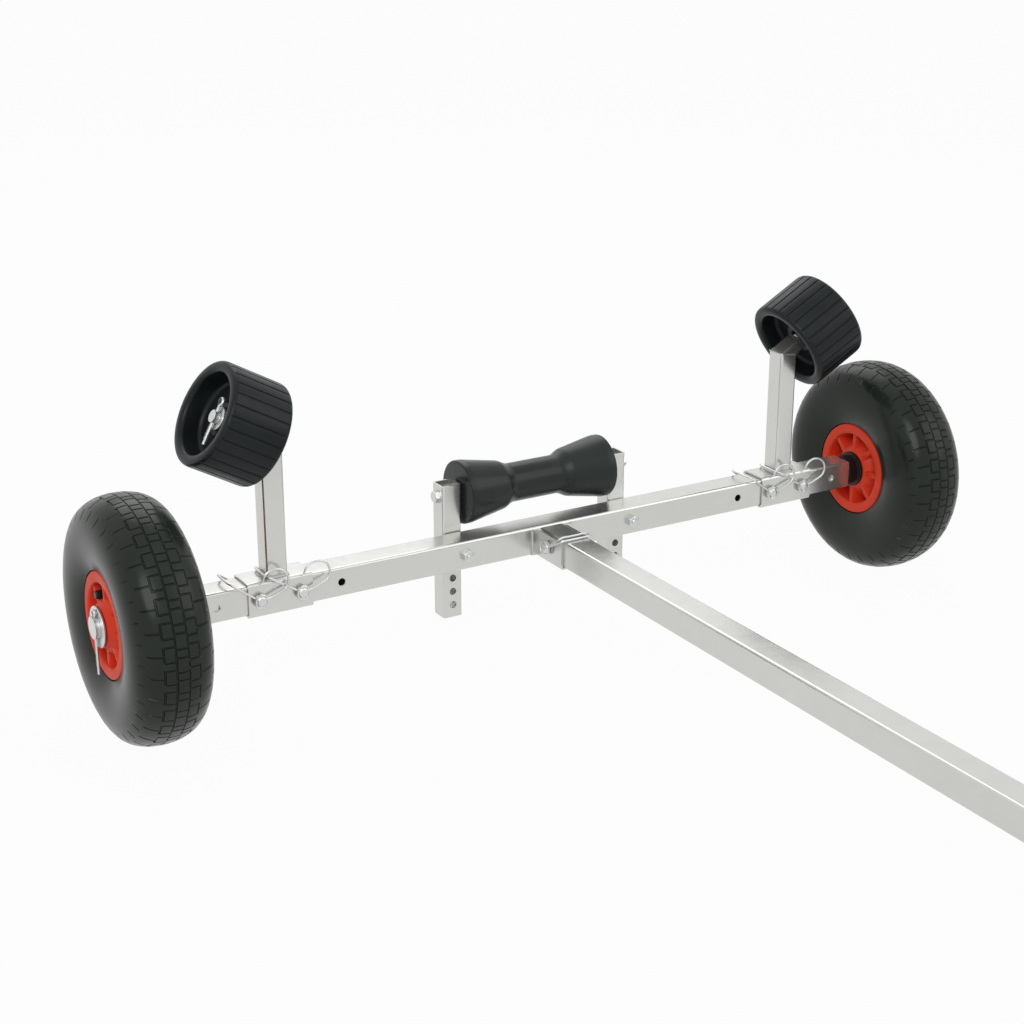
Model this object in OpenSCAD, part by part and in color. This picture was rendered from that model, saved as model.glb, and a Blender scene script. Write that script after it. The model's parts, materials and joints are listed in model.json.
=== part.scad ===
// Launching trolley for a small boat: two pneumatic wheels on a square beam, a drawbar, a keel roller
// on two posts, and two hull rollers on posts whose sleeves slide along the beam.
// Millimetres, +Z up, standing on the floor at z = 0. +X runs along the beam, the drawbar points to -Y.

/* [Wheels] */
// Tyre outside diameter
wheel_od = 275; // [200:1:400]
// Tyre width at its widest
tyre_w = 90; // [60:1:120]
// Distance from the beam's end to the wheel's middle plane
wheel_gap = 57.5; // [50:0.5:90]
// Radius of the rim's flange edge
rim_r = 59.5; // [45:0.5:80]
// Width over the rim's flanges
rim_w = 74; // [50:1:100]
// Ribs in each rim
rim_ribs = 8; // [6:1:12]
// Diameter of the stub axles
axle_d = 25; // [16:1:30]

/* [Beam] */
// Outside width of the beam's square tube
beam_s = 35; // [25:1:60]
// Length of the beam
beam_l = 907; // [700:1:1200]
// Wall of the square tubes
tube_t = 2; // [1.5:0.5:4]
// Distance between neighbouring adjusting holes
hole_pitch = 50; // [30:1:80]
// Diameter of the adjusting holes
hole_d = 9; // [6:0.5:12]

/* [Drawbar] */
// Outside width of the drawbar's square tube
bar_s = 33; // [25:1:50]
// Distance from the axle to the drawbar's front end
bar_reach = 1480; // [900:10:2200]
// Length of the cross handle
handle_l = 420; // [250:10:600]
// Distance from the drawbar's front end back to the prop leg
leg_back = 180; // [90:5:400]

/* [Keel roller] */
// Outside width of the posts' square tube
post_s = 25; // [20:1:40]
// Distance of the keel posts from the middle
keel_x = 115; // [80:1:200]
// Height of the keel roller's axle above the beam's middle
keel_rise = 60.5; // [50:0.5:120]
// Reach of the keel posts above the roller's axle
keel_over = 14.5; // [10:0.5:40]
// Reach of the keel posts below the beam's middle
keel_under = 90; // [60:1:130]
// Length of the keel roller
keel_l = 200; // [120:1:300]
// Diameter of the keel roller's ends
keel_d = 76; // [50:1:120]

/* [Hull rollers] */
// Distance of the hull posts from the beam's ends
hull_back = 102.5; // [95:0.5:200]
// Length of the sliding sleeve
sleeve_l = 77; // [60:1:120]
// Diameter of the hull rollers
roller_d = 119; // [90:1:140]
// Length of the hull rollers
roller_l = 75; // [65:1:100]
// Tilt of the hull rollers' axles above level
roller_tilt = 29; // [15:0.5:40]
// Height above the beam's middle where the roller's axle meets its post
roller_rise = 177.5; // [150:0.5:260]
// Distance along the axle from the post to the roller's middle
roller_out = 43.3; // [40:0.1:80]
// Grooves along each hull roller
roller_grooves = 28; // [12:1:40]

/* [Hidden] */
$fn = 96;
axle_z = wheel_od / 2;
track = beam_l + 2 * wheel_gap;
hull_x = beam_l / 2 - hull_back;
hole_first = hull_x - 1.5 * hole_pitch;
leg_reach = bar_reach - leg_back;
cap_t = 4;
axle_y = (bar_reach + cap_t - wheel_od / 2) / 2;
steel_c = [0.80, 0.81, 0.81];
red_c = [0.86, 0.22, 0.13];
tyre_c = [0.11, 0.12, 0.11];
black_c = [0.08, 0.09, 0.09];
rubber_c = [0.10, 0.12, 0.11];

// Rim and hub
seat_r = rim_r - 5.5;
seat_w = rim_w - 8;
pocket_r = rim_r - 13.5;
hub_r = axle_d / 2 + 16;
bush_r = axle_d / 2 + 6.5;
web_t = 12;
rib_t = 6;
plate_t = 2.6;
bush_in = -(wheel_gap - plate_t - 0.8);
bush_out = rim_w / 2 + 3.6;
washer_x = track / 2 + bush_out + 0.4;
washer_d = axle_d + 21;
washer_t = 2.5;
valve_d = 9.5;
hub_pin_d = 3.2;
hub_pin_x = washer_x + washer_t + hub_pin_d / 2 + 0.5;
axle_end = hub_pin_x + hub_pin_d / 2 + 1.5;

// Sleeves
sleeve_gap = 0.5;
sleeve_s = beam_s + 2 * sleeve_gap + 4.4;
pin_off = hole_pitch / 2;
bail_reach = 34;
bail_gap = 2.5;
bail_loop = 28;
bail_d = 2.6;
pin_d = 8;
pin_head_d = 14;

// Hull rollers: the hub and the web lie deep between the tread's ends
hub_half = roller_l / 2 - 20.1;
web_half = hub_half - 4.9;
roller_rod = 14;
roller_bore = roller_rod / 2 + 0.3;
stub_h = 15;
stub_drop = 2;
stub_l = roller_out - hub_half - 1.7;
roller_washer = roller_out + hub_half + 0.4;
roller_pin = roller_washer + washer_t + 2.7;
rod_end = roller_pin + 3.7;

// Drawbar
bar_z = -1;
socket_l = 53;
bar_pin_y = -41;
handle_y = -(bar_reach - 40);
handle_d = 25;
grip_l = handle_l * 0.34;
leg_x = -(bar_s / 2 + post_s / 2);
leg_pitch = 17;
leg_over = bar_s / 2 + 17.5;
foot_t = 5;

// Keel posts stand behind the beam
keel_y = beam_s / 2 + post_s / 2;
keel_hole_z = [for (i = [0 : 2]) -keel_under + 15.5 + leg_pitch * (2 - i)];
keel_top = keel_rise + keel_over;
keel_bottom = -keel_under;
bolt_d = 8;
bolt_af = 13;

// Shared shapes

// Points of a rectangle w by h whose corners are rounded by r.
function round_rect(w, h, r, n = 5) = [
    for (q = [0 : 3], i = [0 : n])
        let (a = 90 * q + 90 * i / n, c = [[1, 1], [-1, 1], [-1, -1], [1, -1]][q])
            [c[0] * (w / 2 - r), c[1] * (h / 2 - r)] + r * [cos(a), sin(a)]];
function round_square(s, r) = round_rect(s, s, r);

// Tube of section w by h along +Z from z0 to z1.
module tube(w, h, t, z0, z1, r = 3) {
    translate([0, 0, z0]) linear_extrude(z1 - z0) difference() {
        polygon(round_rect(w, h, r));
        polygon(round_rect(w - 2 * t, h - 2 * t, max(r - t, 0.8)));
    }
}
module square_tube(s, t, z0, z1, r = 3) { tube(s, s, t, z0, z1, r); }

// The trolley's own frame: the middle of the axle line.
module at_axle() { translate([0, axle_y, axle_z]) children(); }

// Wheel frame on side s: +Z points outboard along the axle.
module at_wheel(s) { at_axle() translate([s * track / 2, 0, 0]) rotate([0, s * 90, 0]) children(); }

// Hull roller frame on side s: origin where the axle meets its post, +Z outboard along the axle,
// and +X down the slope.
module at_roller(s) {
    at_axle() translate([s * hull_x, 0, roller_rise])
        rotate([0, 0, s > 0 ? 0 : 180]) rotate([0, 90 - roller_tilt, 0]) children();
}

// Round rod along +Y from y0 to y1.
module rod_y(d, y0, y1) { translate([0, y0, 0]) rotate([-90, 0, 0]) cylinder(d = d, h = y1 - y0); }

// Round rod along +X from x0 to x1.
module rod_x(d, x0, x1) { translate([x0, 0, 0]) rotate([0, 90, 0]) cylinder(d = d, h = x1 - x0); }

// Hexagon along +Z, af across its flats.
module hexagon(af, h) { cylinder(d = af / cos(30), h = h, $fn = 6); }

// Split pin along Z: a straight leg with an eye at its top.
module split_pin(d, top, bottom, eye) {
    translate([0, 0, bottom]) cylinder(d = d, h = top - bottom);
    translate([0, 0, top + eye]) rotate([0, 90, 0]) rotate_extrude() translate([eye, 0]) circle(d = d);
}

function unit(v) = v / norm(v);
function tangents(p) = [for (i = [0 : len(p) - 1])
    unit(p[min(i + 1, len(p) - 1)] - p[max(i - 1, 0)])];
function carried(t, n0, i) = i == 0 ? unit(n0 - (n0 * t[0]) * t[0])
    : let (n = carried(t, n0, i - 1)) unit(n - (n * t[i]) * t[i]);

// Wire of diameter d along the points p.
module wire(p, d, n0 = [0, 1, 0.2], k = 6) {
    t = tangents(p);
    m = len(p);
    pts = [for (i = [0 : m - 1]) let (n = carried(t, n0, i), b = cross(t[i], n))
        for (j = [0 : k - 1]) p[i] + d / 2 * (cos(360 * j / k) * n + sin(360 * j / k) * b)];
    polyhedron(pts, concat(
        [[for (j = [0 : k - 1]) j]],
        [for (i = [0 : m - 2], j = [0 : k - 1])
            [i * k + j, (i + 1) * k + j, (i + 1) * k + (j + 1) % k, i * k + (j + 1) % k]],
        [[for (j = [k - 1 : -1 : 0]) (m - 1) * k + j]]));
}

// One arm of the drawbar pin's bail, from the head at -Y over a tube of half width h to the tip at +Y.
// It leans along X as it climbs, and e sets it apart from the other arm: further along X by the spread, and lower.
function bail_arm(h, spread, lean, e) = let (x = lean + e * spread, z = h - 0.3 - 0.9 * e) [
    [0, -h - 3.6, 0], [0.45 * x, -h - 3.4, h * 0.4], [0.86 * x, -h - 2.6, h * 0.8], [x, -h * 0.86, z],
    [x, -h * 0.3, z], [x, h * 0.3, z], [x, h * 0.86, z], [0.86 * x, h + 2.6, h * 0.8], [0.45 * x, h + 3.4, h * 0.4],
    [0, h + 3.6, 0]];

// Long arm of a lock pin's bail: from the head at -Y up to -X over a sleeve of half width h, at the
// reach r, and down behind to the pin's tail at +Y.
function long_arm(h, r) = [
    [-0.12 * r, -h - 3, 0.12 * h], [-0.35 * r, -h - 1.7, 0.41 * h], [-0.63 * r, -h - 1.7, 0.77 * h],
    [-0.83 * r, -h - 1.2, h + 0.4], [-0.95 * r, -h + 2, h + 3.5], [-r, -h + 8, h + 3.8], [-r, 0, h + 3.8],
    [-r, h - 8, h + 3.8], [-0.95 * r, h - 2, h + 3.2], [-0.78 * r, h + 2.4, 0.9 * h], [-0.4 * r, h + 3.6, 0.45 * h],
    [0, h + 3.6, 0]];

// Short arm of a lock pin's bail: from the head up to +X and round in a finger loop of diameter d.
function loop_arm(h, d) = concat(
    [[5, -h - 5, 2], [0.45 * d, -h - 6, 0.22 * h], [0.8 * d, -h - 6, 0.4 * h]],
    [for (a = [-40 : 36 : 176]) [0.62 * d + 0.54 * d * cos(a), -h - 2 - 3 * (180 - a) / 220, h + 0.5 * d * sin(a)]]);

// Domed pin head at -Y, outside a tube of half width h.
module pin_head(h, d) {
    translate([0, -h - 0.2, 0]) rotate([90, 0, 0]) {
        cylinder(d = d, h = 4);
        translate([0, 0, 4]) cylinder(d1 = d, d2 = d * 0.6, h = 2.4);
    }
}

// Wheels

// Half of the casing's section from the rim's flange to the crown, outside and then inside.
// Columns: share of the height from the flange to the crown, share of the half width.
tyre_outer = [[0.012, 0.815], [0.055, 0.858], [0.13, 0.909], [0.235, 0.96], [0.35, 0.991], [0.465, 1], [0.58, 0.987],
    [0.685, 0.947], [0.775, 0.88], [0.852, 0.782], [0.915, 0.644], [0.958, 0.478], [0.987, 0.278], [1, 0.09]];
tyre_inner = [[0.85, 0.09], [0.84, 0.355], [0.79, 0.578], [0.685, 0.733], [0.57, 0.809], [0.44, 0.822], [0.315, 0.791],
    [0.2, 0.724], [0.085, 0.622]];
function flip(p) = [for (i = [len(p) - 1 : -1 : 0]) [p[i][0], -p[i][1]]];

module tyre(s) {
    h = wheel_od / 2 - rim_r;
    r0 = seat_r + 0.3;
    b = seat_w / 2;
    o = concat([[r0, b], [rim_r + 0.4, b]], [for (p = tyre_outer) [rim_r + p[0] * h, p[1] * tyre_w / 2]]);
    i = concat([for (p = tyre_inner) [rim_r + p[0] * h, p[1] * tyre_w / 2]], [[rim_r + 0.4, b - 9], [r0, b - 11]]);
    color(tyre_c) at_wheel(s) rotate_extrude() polygon(concat(o, flip(o), flip(concat(flip(i), i))));
}

module rim(s) {
    h = rim_w / 2;
    half = [[bush_r + 0.2, h - 1.5], [hub_r - 1, h - 1.5], [hub_r, h - 2.5], [hub_r - 1, web_t / 2], [pocket_r, web_t / 2],
        [pocket_r + 1, h - 1], [pocket_r + 2, h], [rim_r - 2, h], [rim_r, h - 2], [rim_r, seat_w / 2 + 0.3],
        [seat_r, seat_w / 2 + 0.3]];
    color(red_c) at_wheel(s) {
        rotate_extrude() polygon(concat(half, flip(half)));
        for (i = [0 : rim_ribs - 1]) rotate(360 / rim_ribs * i)
            translate([(hub_r + pocket_r) / 2 - 0.5, 0, 0]) cube([pocket_r - hub_r + 3, rib_t, rim_w - 6], center = true);
    }
}

module bush(s) {
    color(black_c) at_wheel(s) rotate_extrude()
        polygon([[axle_d / 2 + 0.3, bush_in], [bush_r - 1, bush_in], [bush_r, bush_in + 1], [bush_r, bush_out - 1],
            [bush_r - 1, bush_out], [axle_d / 2 + 0.3, bush_out]]);
}

// The stem stands in the pocket behind the top rib and ends short of the split pin.
module valve(s) {
    a = 180 / rim_ribs;
    l = rim_w / 2 + 1.8 - web_t / 2;
    color(black_c) at_wheel(s) rotate(s > 0 ? 180 - a : a) translate([hub_r + valve_d / 2 + 0.3, 0, web_t / 2]) {
        cylinder(d = valve_d - 1.5, h = l);
        translate([0, 0, l - 14]) cylinder(d = valve_d, h = 14);
    }
}

module stub_axle(s) {
    e = beam_l / 2;
    color(steel_c) at_axle() rotate([0, s > 0 ? 0 : 180, 0]) difference() {
        union() {
            translate([e - 42, 0, 0]) rotate([0, 90, 0]) linear_extrude(42) polygon(round_square(beam_s - 2 * tube_t - 0.4, 1));
            translate([e, 0, 0]) rotate([0, 90, 0]) linear_extrude(plate_t) polygon(round_square(beam_s - 1, 3));
            rod_x(axle_d, e + 1, axle_end);
        }
        translate([hub_pin_x, 0, -axle_d]) cylinder(d = hub_pin_d + 0.4, h = 2 * axle_d);
    }
}

module hub_washer(s) {
    color(steel_c) at_axle() rotate([0, s * 90, 0]) translate([0, 0, washer_x]) difference() {
        cylinder(d = washer_d, h = washer_t);
        translate([0, 0, -1]) cylinder(d = axle_d + 0.6, h = washer_t + 2);
    }
}

module hub_pin(s) {
    color(steel_c) at_axle() translate([s * hub_pin_x, 0, 0]) split_pin(hub_pin_d, axle_d / 2 + 1.5, -axle_d / 2 - 41, 2.6);
}

// Beam and drawbar

module axle_beam() {
    color(steel_c) at_axle() difference() {
        rotate([0, 90, 0]) square_tube(beam_s, tube_t, -beam_l / 2, beam_l / 2, 3.5);
        for (s = [-1, 1], i = [0 : 3]) translate([s * (hole_first + i * hole_pitch), 0, 0]) rod_y(hole_d, -beam_s, beam_s);
        for (s = [-1, 1]) translate([s * keel_x, 0, 0]) rod_y(bolt_d + 0.4, -beam_s, beam_s);
    }
}

module drawbar_socket() {
    w = bar_s + 0.4;
    f = -beam_s / 2;
    color(steel_c) at_axle() difference() {
        translate([0, f - socket_l, bar_z]) rotate([-90, 0, 0]) linear_extrude(socket_l) difference() {
            polygon([[-w / 2 - 2.6, -15], [-w / 2 - 2.6, 17], [-w / 2 - 0.6, 19], [w / 2 + 0.6, 19], [w / 2 + 2.6, 17],
                [w / 2 + 2.6, -15]]);
            translate([-w / 2, -20]) square([w, 20 + bar_s / 2]);
        }
        translate([0, bar_pin_y, bar_z]) rod_x(pin_d + 0.6, -bar_s, bar_s);
    }
    color(steel_c) at_axle() for (s = [-1, 1])
        translate([s * (w / 2 + 6) - 4, f - 3, -16.5]) cube([8, 3, 31]);
}

module drawbar() {
    color(steel_c) at_axle() translate([0, 0, bar_z]) difference() {
        rotate([90, 0, 0]) square_tube(bar_s, tube_t, beam_s / 2, bar_reach, 3);
        translate([0, bar_pin_y, 0]) rod_x(pin_d + 0.6, -bar_s, bar_s);
        translate([0, handle_y, 0]) rod_x(handle_d + 0.4, -bar_s, bar_s);
        for (z = [leg_pitch / 2, -leg_pitch / 2]) translate([0, -leg_reach, z]) rod_x(bolt_d + 0.4, -bar_s, bar_s);
    }
}

module drawbar_pin() {
    h = bar_s / 2 + 2.8;
    color(steel_c) at_axle() translate([0, bar_pin_y, bar_z]) rotate([0, 0, -90]) {
        pin_head(h, pin_head_d);
        rod_y(pin_d, -h - 1, h + 6);
        for (e = [-1, 1]) wire(bail_arm(h, 3, socket_l + beam_s / 2 + bar_pin_y + 0.5, e), bail_d);
    }
}

module drawbar_cap() {
    color(black_c) at_axle() translate([0, -bar_reach, bar_z]) rotate([90, 0, 0]) {
        translate([0, 0, -16]) linear_extrude(16) polygon(round_square(bar_s - 2 * tube_t - 0.4, 1));
        linear_extrude(cap_t) polygon(round_square(bar_s, 3));
    }
}

module handle_bar() {
    color(steel_c) at_axle() translate([0, handle_y, bar_z]) rotate([0, 90, 0]) difference() {
        cylinder(d = handle_d, h = handle_l, center = true);
        cylinder(d = handle_d - 2 * tube_t, h = handle_l + 2, center = true);
    }
}

module grip(s) {
    e = handle_l / 2;
    b = e - grip_l;
    r = handle_d / 2 + 0.2;
    color(black_c) at_axle() translate([0, handle_y, bar_z]) rotate([0, s * 90, 0]) rotate_extrude()
        polygon([[r, b], [r + 6.8, b], [r + 7.8, b + 1], [r + 7.8, b + 5], [r + 4.3, b + 8], [r + 3.5, b + 14],
            [r + 3.5, e - 12], [r + 4.3, e - 4], [r + 4.7, e], [r + 3.5, e + 3.4], [r, e + 5], [0, e + 5], [0, e + 0.2],
            [r, e + 0.2]]);
}

module prop_leg() {
    color(steel_c) at_axle() translate([leg_x, -leg_reach, bar_z]) difference() {
        square_tube(post_s, tube_t, -axle_z - bar_z + foot_t, leg_over);
        for (i = [0 : 3]) translate([0, 0, leg_pitch * (0.5 - i)]) rod_x(bolt_d + 0.4, -post_s, post_s);
    }
}

module leg_bolts() {
    x0 = leg_x - post_s / 2;
    color(steel_c) at_axle() for (z = [leg_pitch / 2, -leg_pitch / 2]) translate([0, -leg_reach, bar_z + z]) {
        rod_x(bolt_d, x0 - 1, bar_s / 2 + 10);
        translate([x0, 0, 0]) rotate([0, -90, 0]) hexagon(bolt_af, 5.5);
        translate([bar_s / 2, 0, 0]) rotate([0, 90, 0]) hexagon(bolt_af, 6.5);
    }
}

module leg_foot() {
    color(black_c) at_axle() translate([leg_x, -leg_reach, -axle_z]) {
        linear_extrude(foot_t) polygon(round_square(post_s + 15, 7));
        translate([0, 0, foot_t]) linear_extrude(18) polygon(round_square(post_s - 2 * tube_t - 0.4, 1));
        translate([0, 0, foot_t]) linear_extrude(20) difference() {
            polygon(round_square(post_s + 6, 5));
            polygon(round_square(post_s + 0.4, 3.2));
        }
    }
}

// Keel roller on its two posts

module keel_post(s) {
    color(steel_c) at_axle() translate([s * keel_x, keel_y, 0]) difference() {
        square_tube(post_s, tube_t, keel_bottom, keel_top);
        rod_y(bolt_d + 0.4, -post_s, post_s);
        for (z = keel_hole_z) translate([0, 0, z]) rod_y(hole_d, -post_s, post_s);
        translate([0, 0, keel_rise]) rod_x(bolt_d + 0.4, -post_s, post_s);
    }
}

module keel_bolt(s) {
    f = -beam_s / 2;
    b = keel_y + post_s / 2;
    color(steel_c) at_axle() translate([s * keel_x, 0, 0]) {
        rod_y(bolt_d, f - 8.5, b + 1);
        translate([0, f, 0]) rotate([90, 0, 0]) hexagon(bolt_af, 6.5);
        translate([0, b, 0]) rotate([-90, 0, 0]) hexagon(bolt_af, 5.5);
    }
}

module keel_axle() {
    e = keel_x + post_s / 2;
    color(steel_c) at_axle() translate([0, keel_y, keel_rise]) {
        rod_x(bolt_d, -e - 1, e + 9);
        translate([-e, 0, 0]) rotate([0, -90, 0]) hexagon(bolt_af, 5.5);
        translate([e, 0, 0]) rotate([0, 90, 0]) hexagon(bolt_af, 6.5);
    }
}

module keel_roller() {
    h = keel_l / 2;
    r = keel_d / 2;
    half = [[bolt_d / 2 + 0.3, h], [r - 5, h], [r - 1.5, h - 1.5], [r, h - 5], [r, h - 8], [r * 0.77, h * 0.45], [r * 0.745, h * 0.42],
        [r * 0.66, h * 0.37], [r * 0.615, h * 0.32]];
    color(rubber_c) at_axle() translate([0, keel_y, keel_rise]) rotate([0, 90, 0])
        rotate_extrude() polygon(concat(half, flip(half)));
}

// Hull rollers on their sliding supports

module sleeve(s) {
    color(steel_c) at_axle() translate([s * hull_x, 0, 0]) difference() {
        rotate([0, 90, 0]) linear_extrude(sleeve_l, center = true) difference() {
            polygon(round_square(sleeve_s, 4));
            polygon(round_square(beam_s + 2 * sleeve_gap, 3));
        }
        for (e = [-1, 1]) translate([e * pin_off, 0, 0]) rod_y(hole_d, -beam_s, beam_s);
    }
}

// The stub lies along the roller's axle, and its slanting foot is welded on the post's nearly level top.
module hull_post(s) {
    big = 4 * post_s;
    seam = atan2(post_s * sin(roller_tilt) - stub_h, post_s * cos(roller_tilt));
    seam_z = roller_rise - stub_drop / cos(roller_tilt);
    color(steel_c) at_axle() translate([s * hull_x, 0, 0]) rotate([0, 0, s > 0 ? 0 : 180]) {
        difference() {
            square_tube(post_s, tube_t, sleeve_s / 2, roller_rise + post_s);
            translate([0, 0, seam_z]) rotate([0, -seam, 0]) translate([-big / 2, -big / 2, 0]) cube(big);
        }
        difference() {
            translate([0, 0, roller_rise]) rotate([0, 90 - roller_tilt, 0]) translate([stub_drop, 0, 0]) {
                tube(stub_h, post_s, tube_t, -post_s, stub_l, 2.5);
                translate([0, 0, stub_l - 3]) linear_extrude(3) polygon(round_rect(stub_h, post_s, 2.5));
            }
            translate([0, 0, seam_z]) rotate([0, -seam, 0]) translate([-big / 2, -big / 2, -big]) cube(big);
        }
    }
}

module roller_rod(s) {
    color(steel_c) at_roller(s) difference() {
        translate([0, 0, stub_l]) cylinder(d = roller_rod, h = rod_end - stub_l);
        translate([0, 0, roller_pin]) rod_x(4.6, -roller_rod, roller_rod);
    }
}

module roller_washer(s) {
    color(steel_c) at_roller(s) translate([0, 0, roller_washer]) difference() {
        cylinder(d = roller_rod + 13, h = washer_t);
        translate([0, 0, -1]) cylinder(d = roller_rod + 0.6, h = washer_t + 2);
    }
}

module roller_pin(s) {
    color(steel_c) at_roller(s) translate([0, 0, roller_pin]) rotate([0, -90, 0]) split_pin(4.2, 14, -31.5, 3.6);
}

module hull_roller(s) {
    h = roller_l / 2;
    r = roller_d / 2;
    half = [[roller_bore, hub_half], [roller_rod + 6, hub_half], [roller_rod + 7, web_half], [r * 0.745, web_half],
        [r * 0.775, h - 1], [r * 0.79, h], [r - 5, h], [r - 2.4, h - 0.7], [r - 0.7, h - 2.4], [r, h - 5]];
    color(rubber_c) at_roller(s) translate([0, 0, roller_out]) difference() {
        rotate_extrude() polygon(concat(half, flip(half)));
        for (i = [0 : roller_grooves - 1]) rotate(360 / roller_grooves * i)
            translate([r, 0, 0]) cube([2.4, 2, roller_l + 2], center = true);
    }
}

module lock_pin(s, e) {
    h = sleeve_s / 2;
    color(steel_c) at_axle() translate([s * (hull_x + e * pin_off), 0, 0]) {
        pin_head(h, pin_head_d);
        rod_y(pin_d, -h - 1, -beam_s / 2 - sleeve_gap - 0.2);
        rod_y(pin_d, beam_s / 2 + sleeve_gap + 0.2, h + 7);
        wire(long_arm(h, s * e > 0 ? pin_off + post_s / 2 + bail_gap : bail_reach), bail_d);
        wire(loop_arm(h, bail_loop), bail_d);
    }
}

axle_beam();
stub_axle(-1);  // stub_axle_left
stub_axle(1);  // stub_axle_right
hub_washer(-1);  // hub_washer_left
hub_washer(1);  // hub_washer_right
hub_pin(-1);  // hub_pin_left
hub_pin(1);  // hub_pin_right
keel_post(-1);  // keel_post_left
keel_post(1);  // keel_post_right
keel_bolt(-1);  // keel_bolt_left
keel_bolt(1);  // keel_bolt_right
keel_axle();
drawbar_socket();
drawbar();
drawbar_pin();
drawbar_cap();
handle_bar();
grip(-1);  // grip_left
grip(1);  // grip_right
prop_leg();
leg_bolts();
leg_foot();
tyre(-1);  // tyre_left
rim(-1);  // rim_left
bush(-1);  // bush_left
valve(-1);  // valve_left
tyre(1);  // tyre_right
rim(1);  // rim_right
bush(1);  // bush_right
valve(1);  // valve_right
keel_roller();
sleeve(-1);  // sleeve_left
hull_post(-1);  // hull_post_left
roller_rod(-1);  // roller_rod_left
roller_washer(-1);  // roller_washer_left
roller_pin(-1);  // roller_pin_left
lock_pin(-1, 1);  // lock_pin_left_outer
lock_pin(-1, -1);  // lock_pin_left_inner
hull_roller(-1);  // hull_roller_left
sleeve(1);  // sleeve_right
hull_post(1);  // hull_post_right
roller_rod(1);  // roller_rod_right
roller_washer(1);  // roller_washer_right
roller_pin(1);  // roller_pin_right
lock_pin(1, 1);  // lock_pin_right_outer
lock_pin(1, -1);  // lock_pin_right_inner
hull_roller(1);  // hull_roller_right
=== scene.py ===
"""Looks of a boat launching trolley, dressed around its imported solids.

Shapes are worked out in millimetres around the middle of the axle line: +X runs along the beam,
+Y points away from the drawbar and +Z up. Each piece is put into the row frame, in metres, when
its mesh is made.
"""

import json
import logging
import math
from dataclasses import dataclass, field
from enum import Enum

import bpy
import numpy as np
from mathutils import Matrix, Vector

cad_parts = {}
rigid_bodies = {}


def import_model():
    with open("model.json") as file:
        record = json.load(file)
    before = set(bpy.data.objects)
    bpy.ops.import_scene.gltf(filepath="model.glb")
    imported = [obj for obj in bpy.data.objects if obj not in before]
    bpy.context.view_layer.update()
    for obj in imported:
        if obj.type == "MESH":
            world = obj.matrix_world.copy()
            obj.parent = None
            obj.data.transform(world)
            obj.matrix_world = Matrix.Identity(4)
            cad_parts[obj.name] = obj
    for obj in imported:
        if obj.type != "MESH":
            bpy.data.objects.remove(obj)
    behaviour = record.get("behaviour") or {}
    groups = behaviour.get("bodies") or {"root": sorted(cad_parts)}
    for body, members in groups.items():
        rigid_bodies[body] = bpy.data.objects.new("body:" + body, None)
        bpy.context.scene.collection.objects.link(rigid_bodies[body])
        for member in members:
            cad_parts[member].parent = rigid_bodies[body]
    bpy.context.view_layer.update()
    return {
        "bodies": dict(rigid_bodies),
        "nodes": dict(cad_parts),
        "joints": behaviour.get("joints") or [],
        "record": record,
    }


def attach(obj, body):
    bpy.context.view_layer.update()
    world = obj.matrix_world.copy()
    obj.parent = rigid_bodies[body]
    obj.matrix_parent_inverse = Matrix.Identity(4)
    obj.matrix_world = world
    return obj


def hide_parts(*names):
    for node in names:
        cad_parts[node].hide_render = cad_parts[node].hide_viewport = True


Array = np.ndarray
log = logging.getLogger("trolley")

AXLE = np.array([0.0, 673.25, 137.5])
UP = np.array([0.0, 0.0, 1.0])
ALONG = np.array([1.0, 0.0, 0.0])
BACK = np.array([0.0, 1.0, 0.0])
LONGEST_CUT = 0.45  # a rounding's reach along the shorter of two lines, as a share
NOISE_RANGE = (0.3, 0.7)  # the part of a noise's range that is spread over a finish
CLOUD_DETAIL, GRAIN_DETAIL = 4.0, 2.0  # detail of the cloudy noise and of the fine relief
PATCH_SHARE = 0.45  # share of the crystal patches in the change of tone
RELIEF_STRENGTH = 0.6  # strength of the fine relief


class Side(Enum):
    """Side of the trolley, as seen from the drawbar; the value is the sign of X."""

    LEFT = -1
    RIGHT = 1

    @property
    def word(self) -> str:
        """The side's word in the names of nodes and bodies."""
        return self.name.lower()


class Slot(Enum):
    """Material slots of the record."""

    ZINC = "zinc_steel"
    RED = "red_plastic"
    TYRE = "tyre_rubber"
    ROLLER = "roller_rubber"
    BLACK = "black_plastic"
    GRIP = "grip_rubber"


# Surfaces


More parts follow.
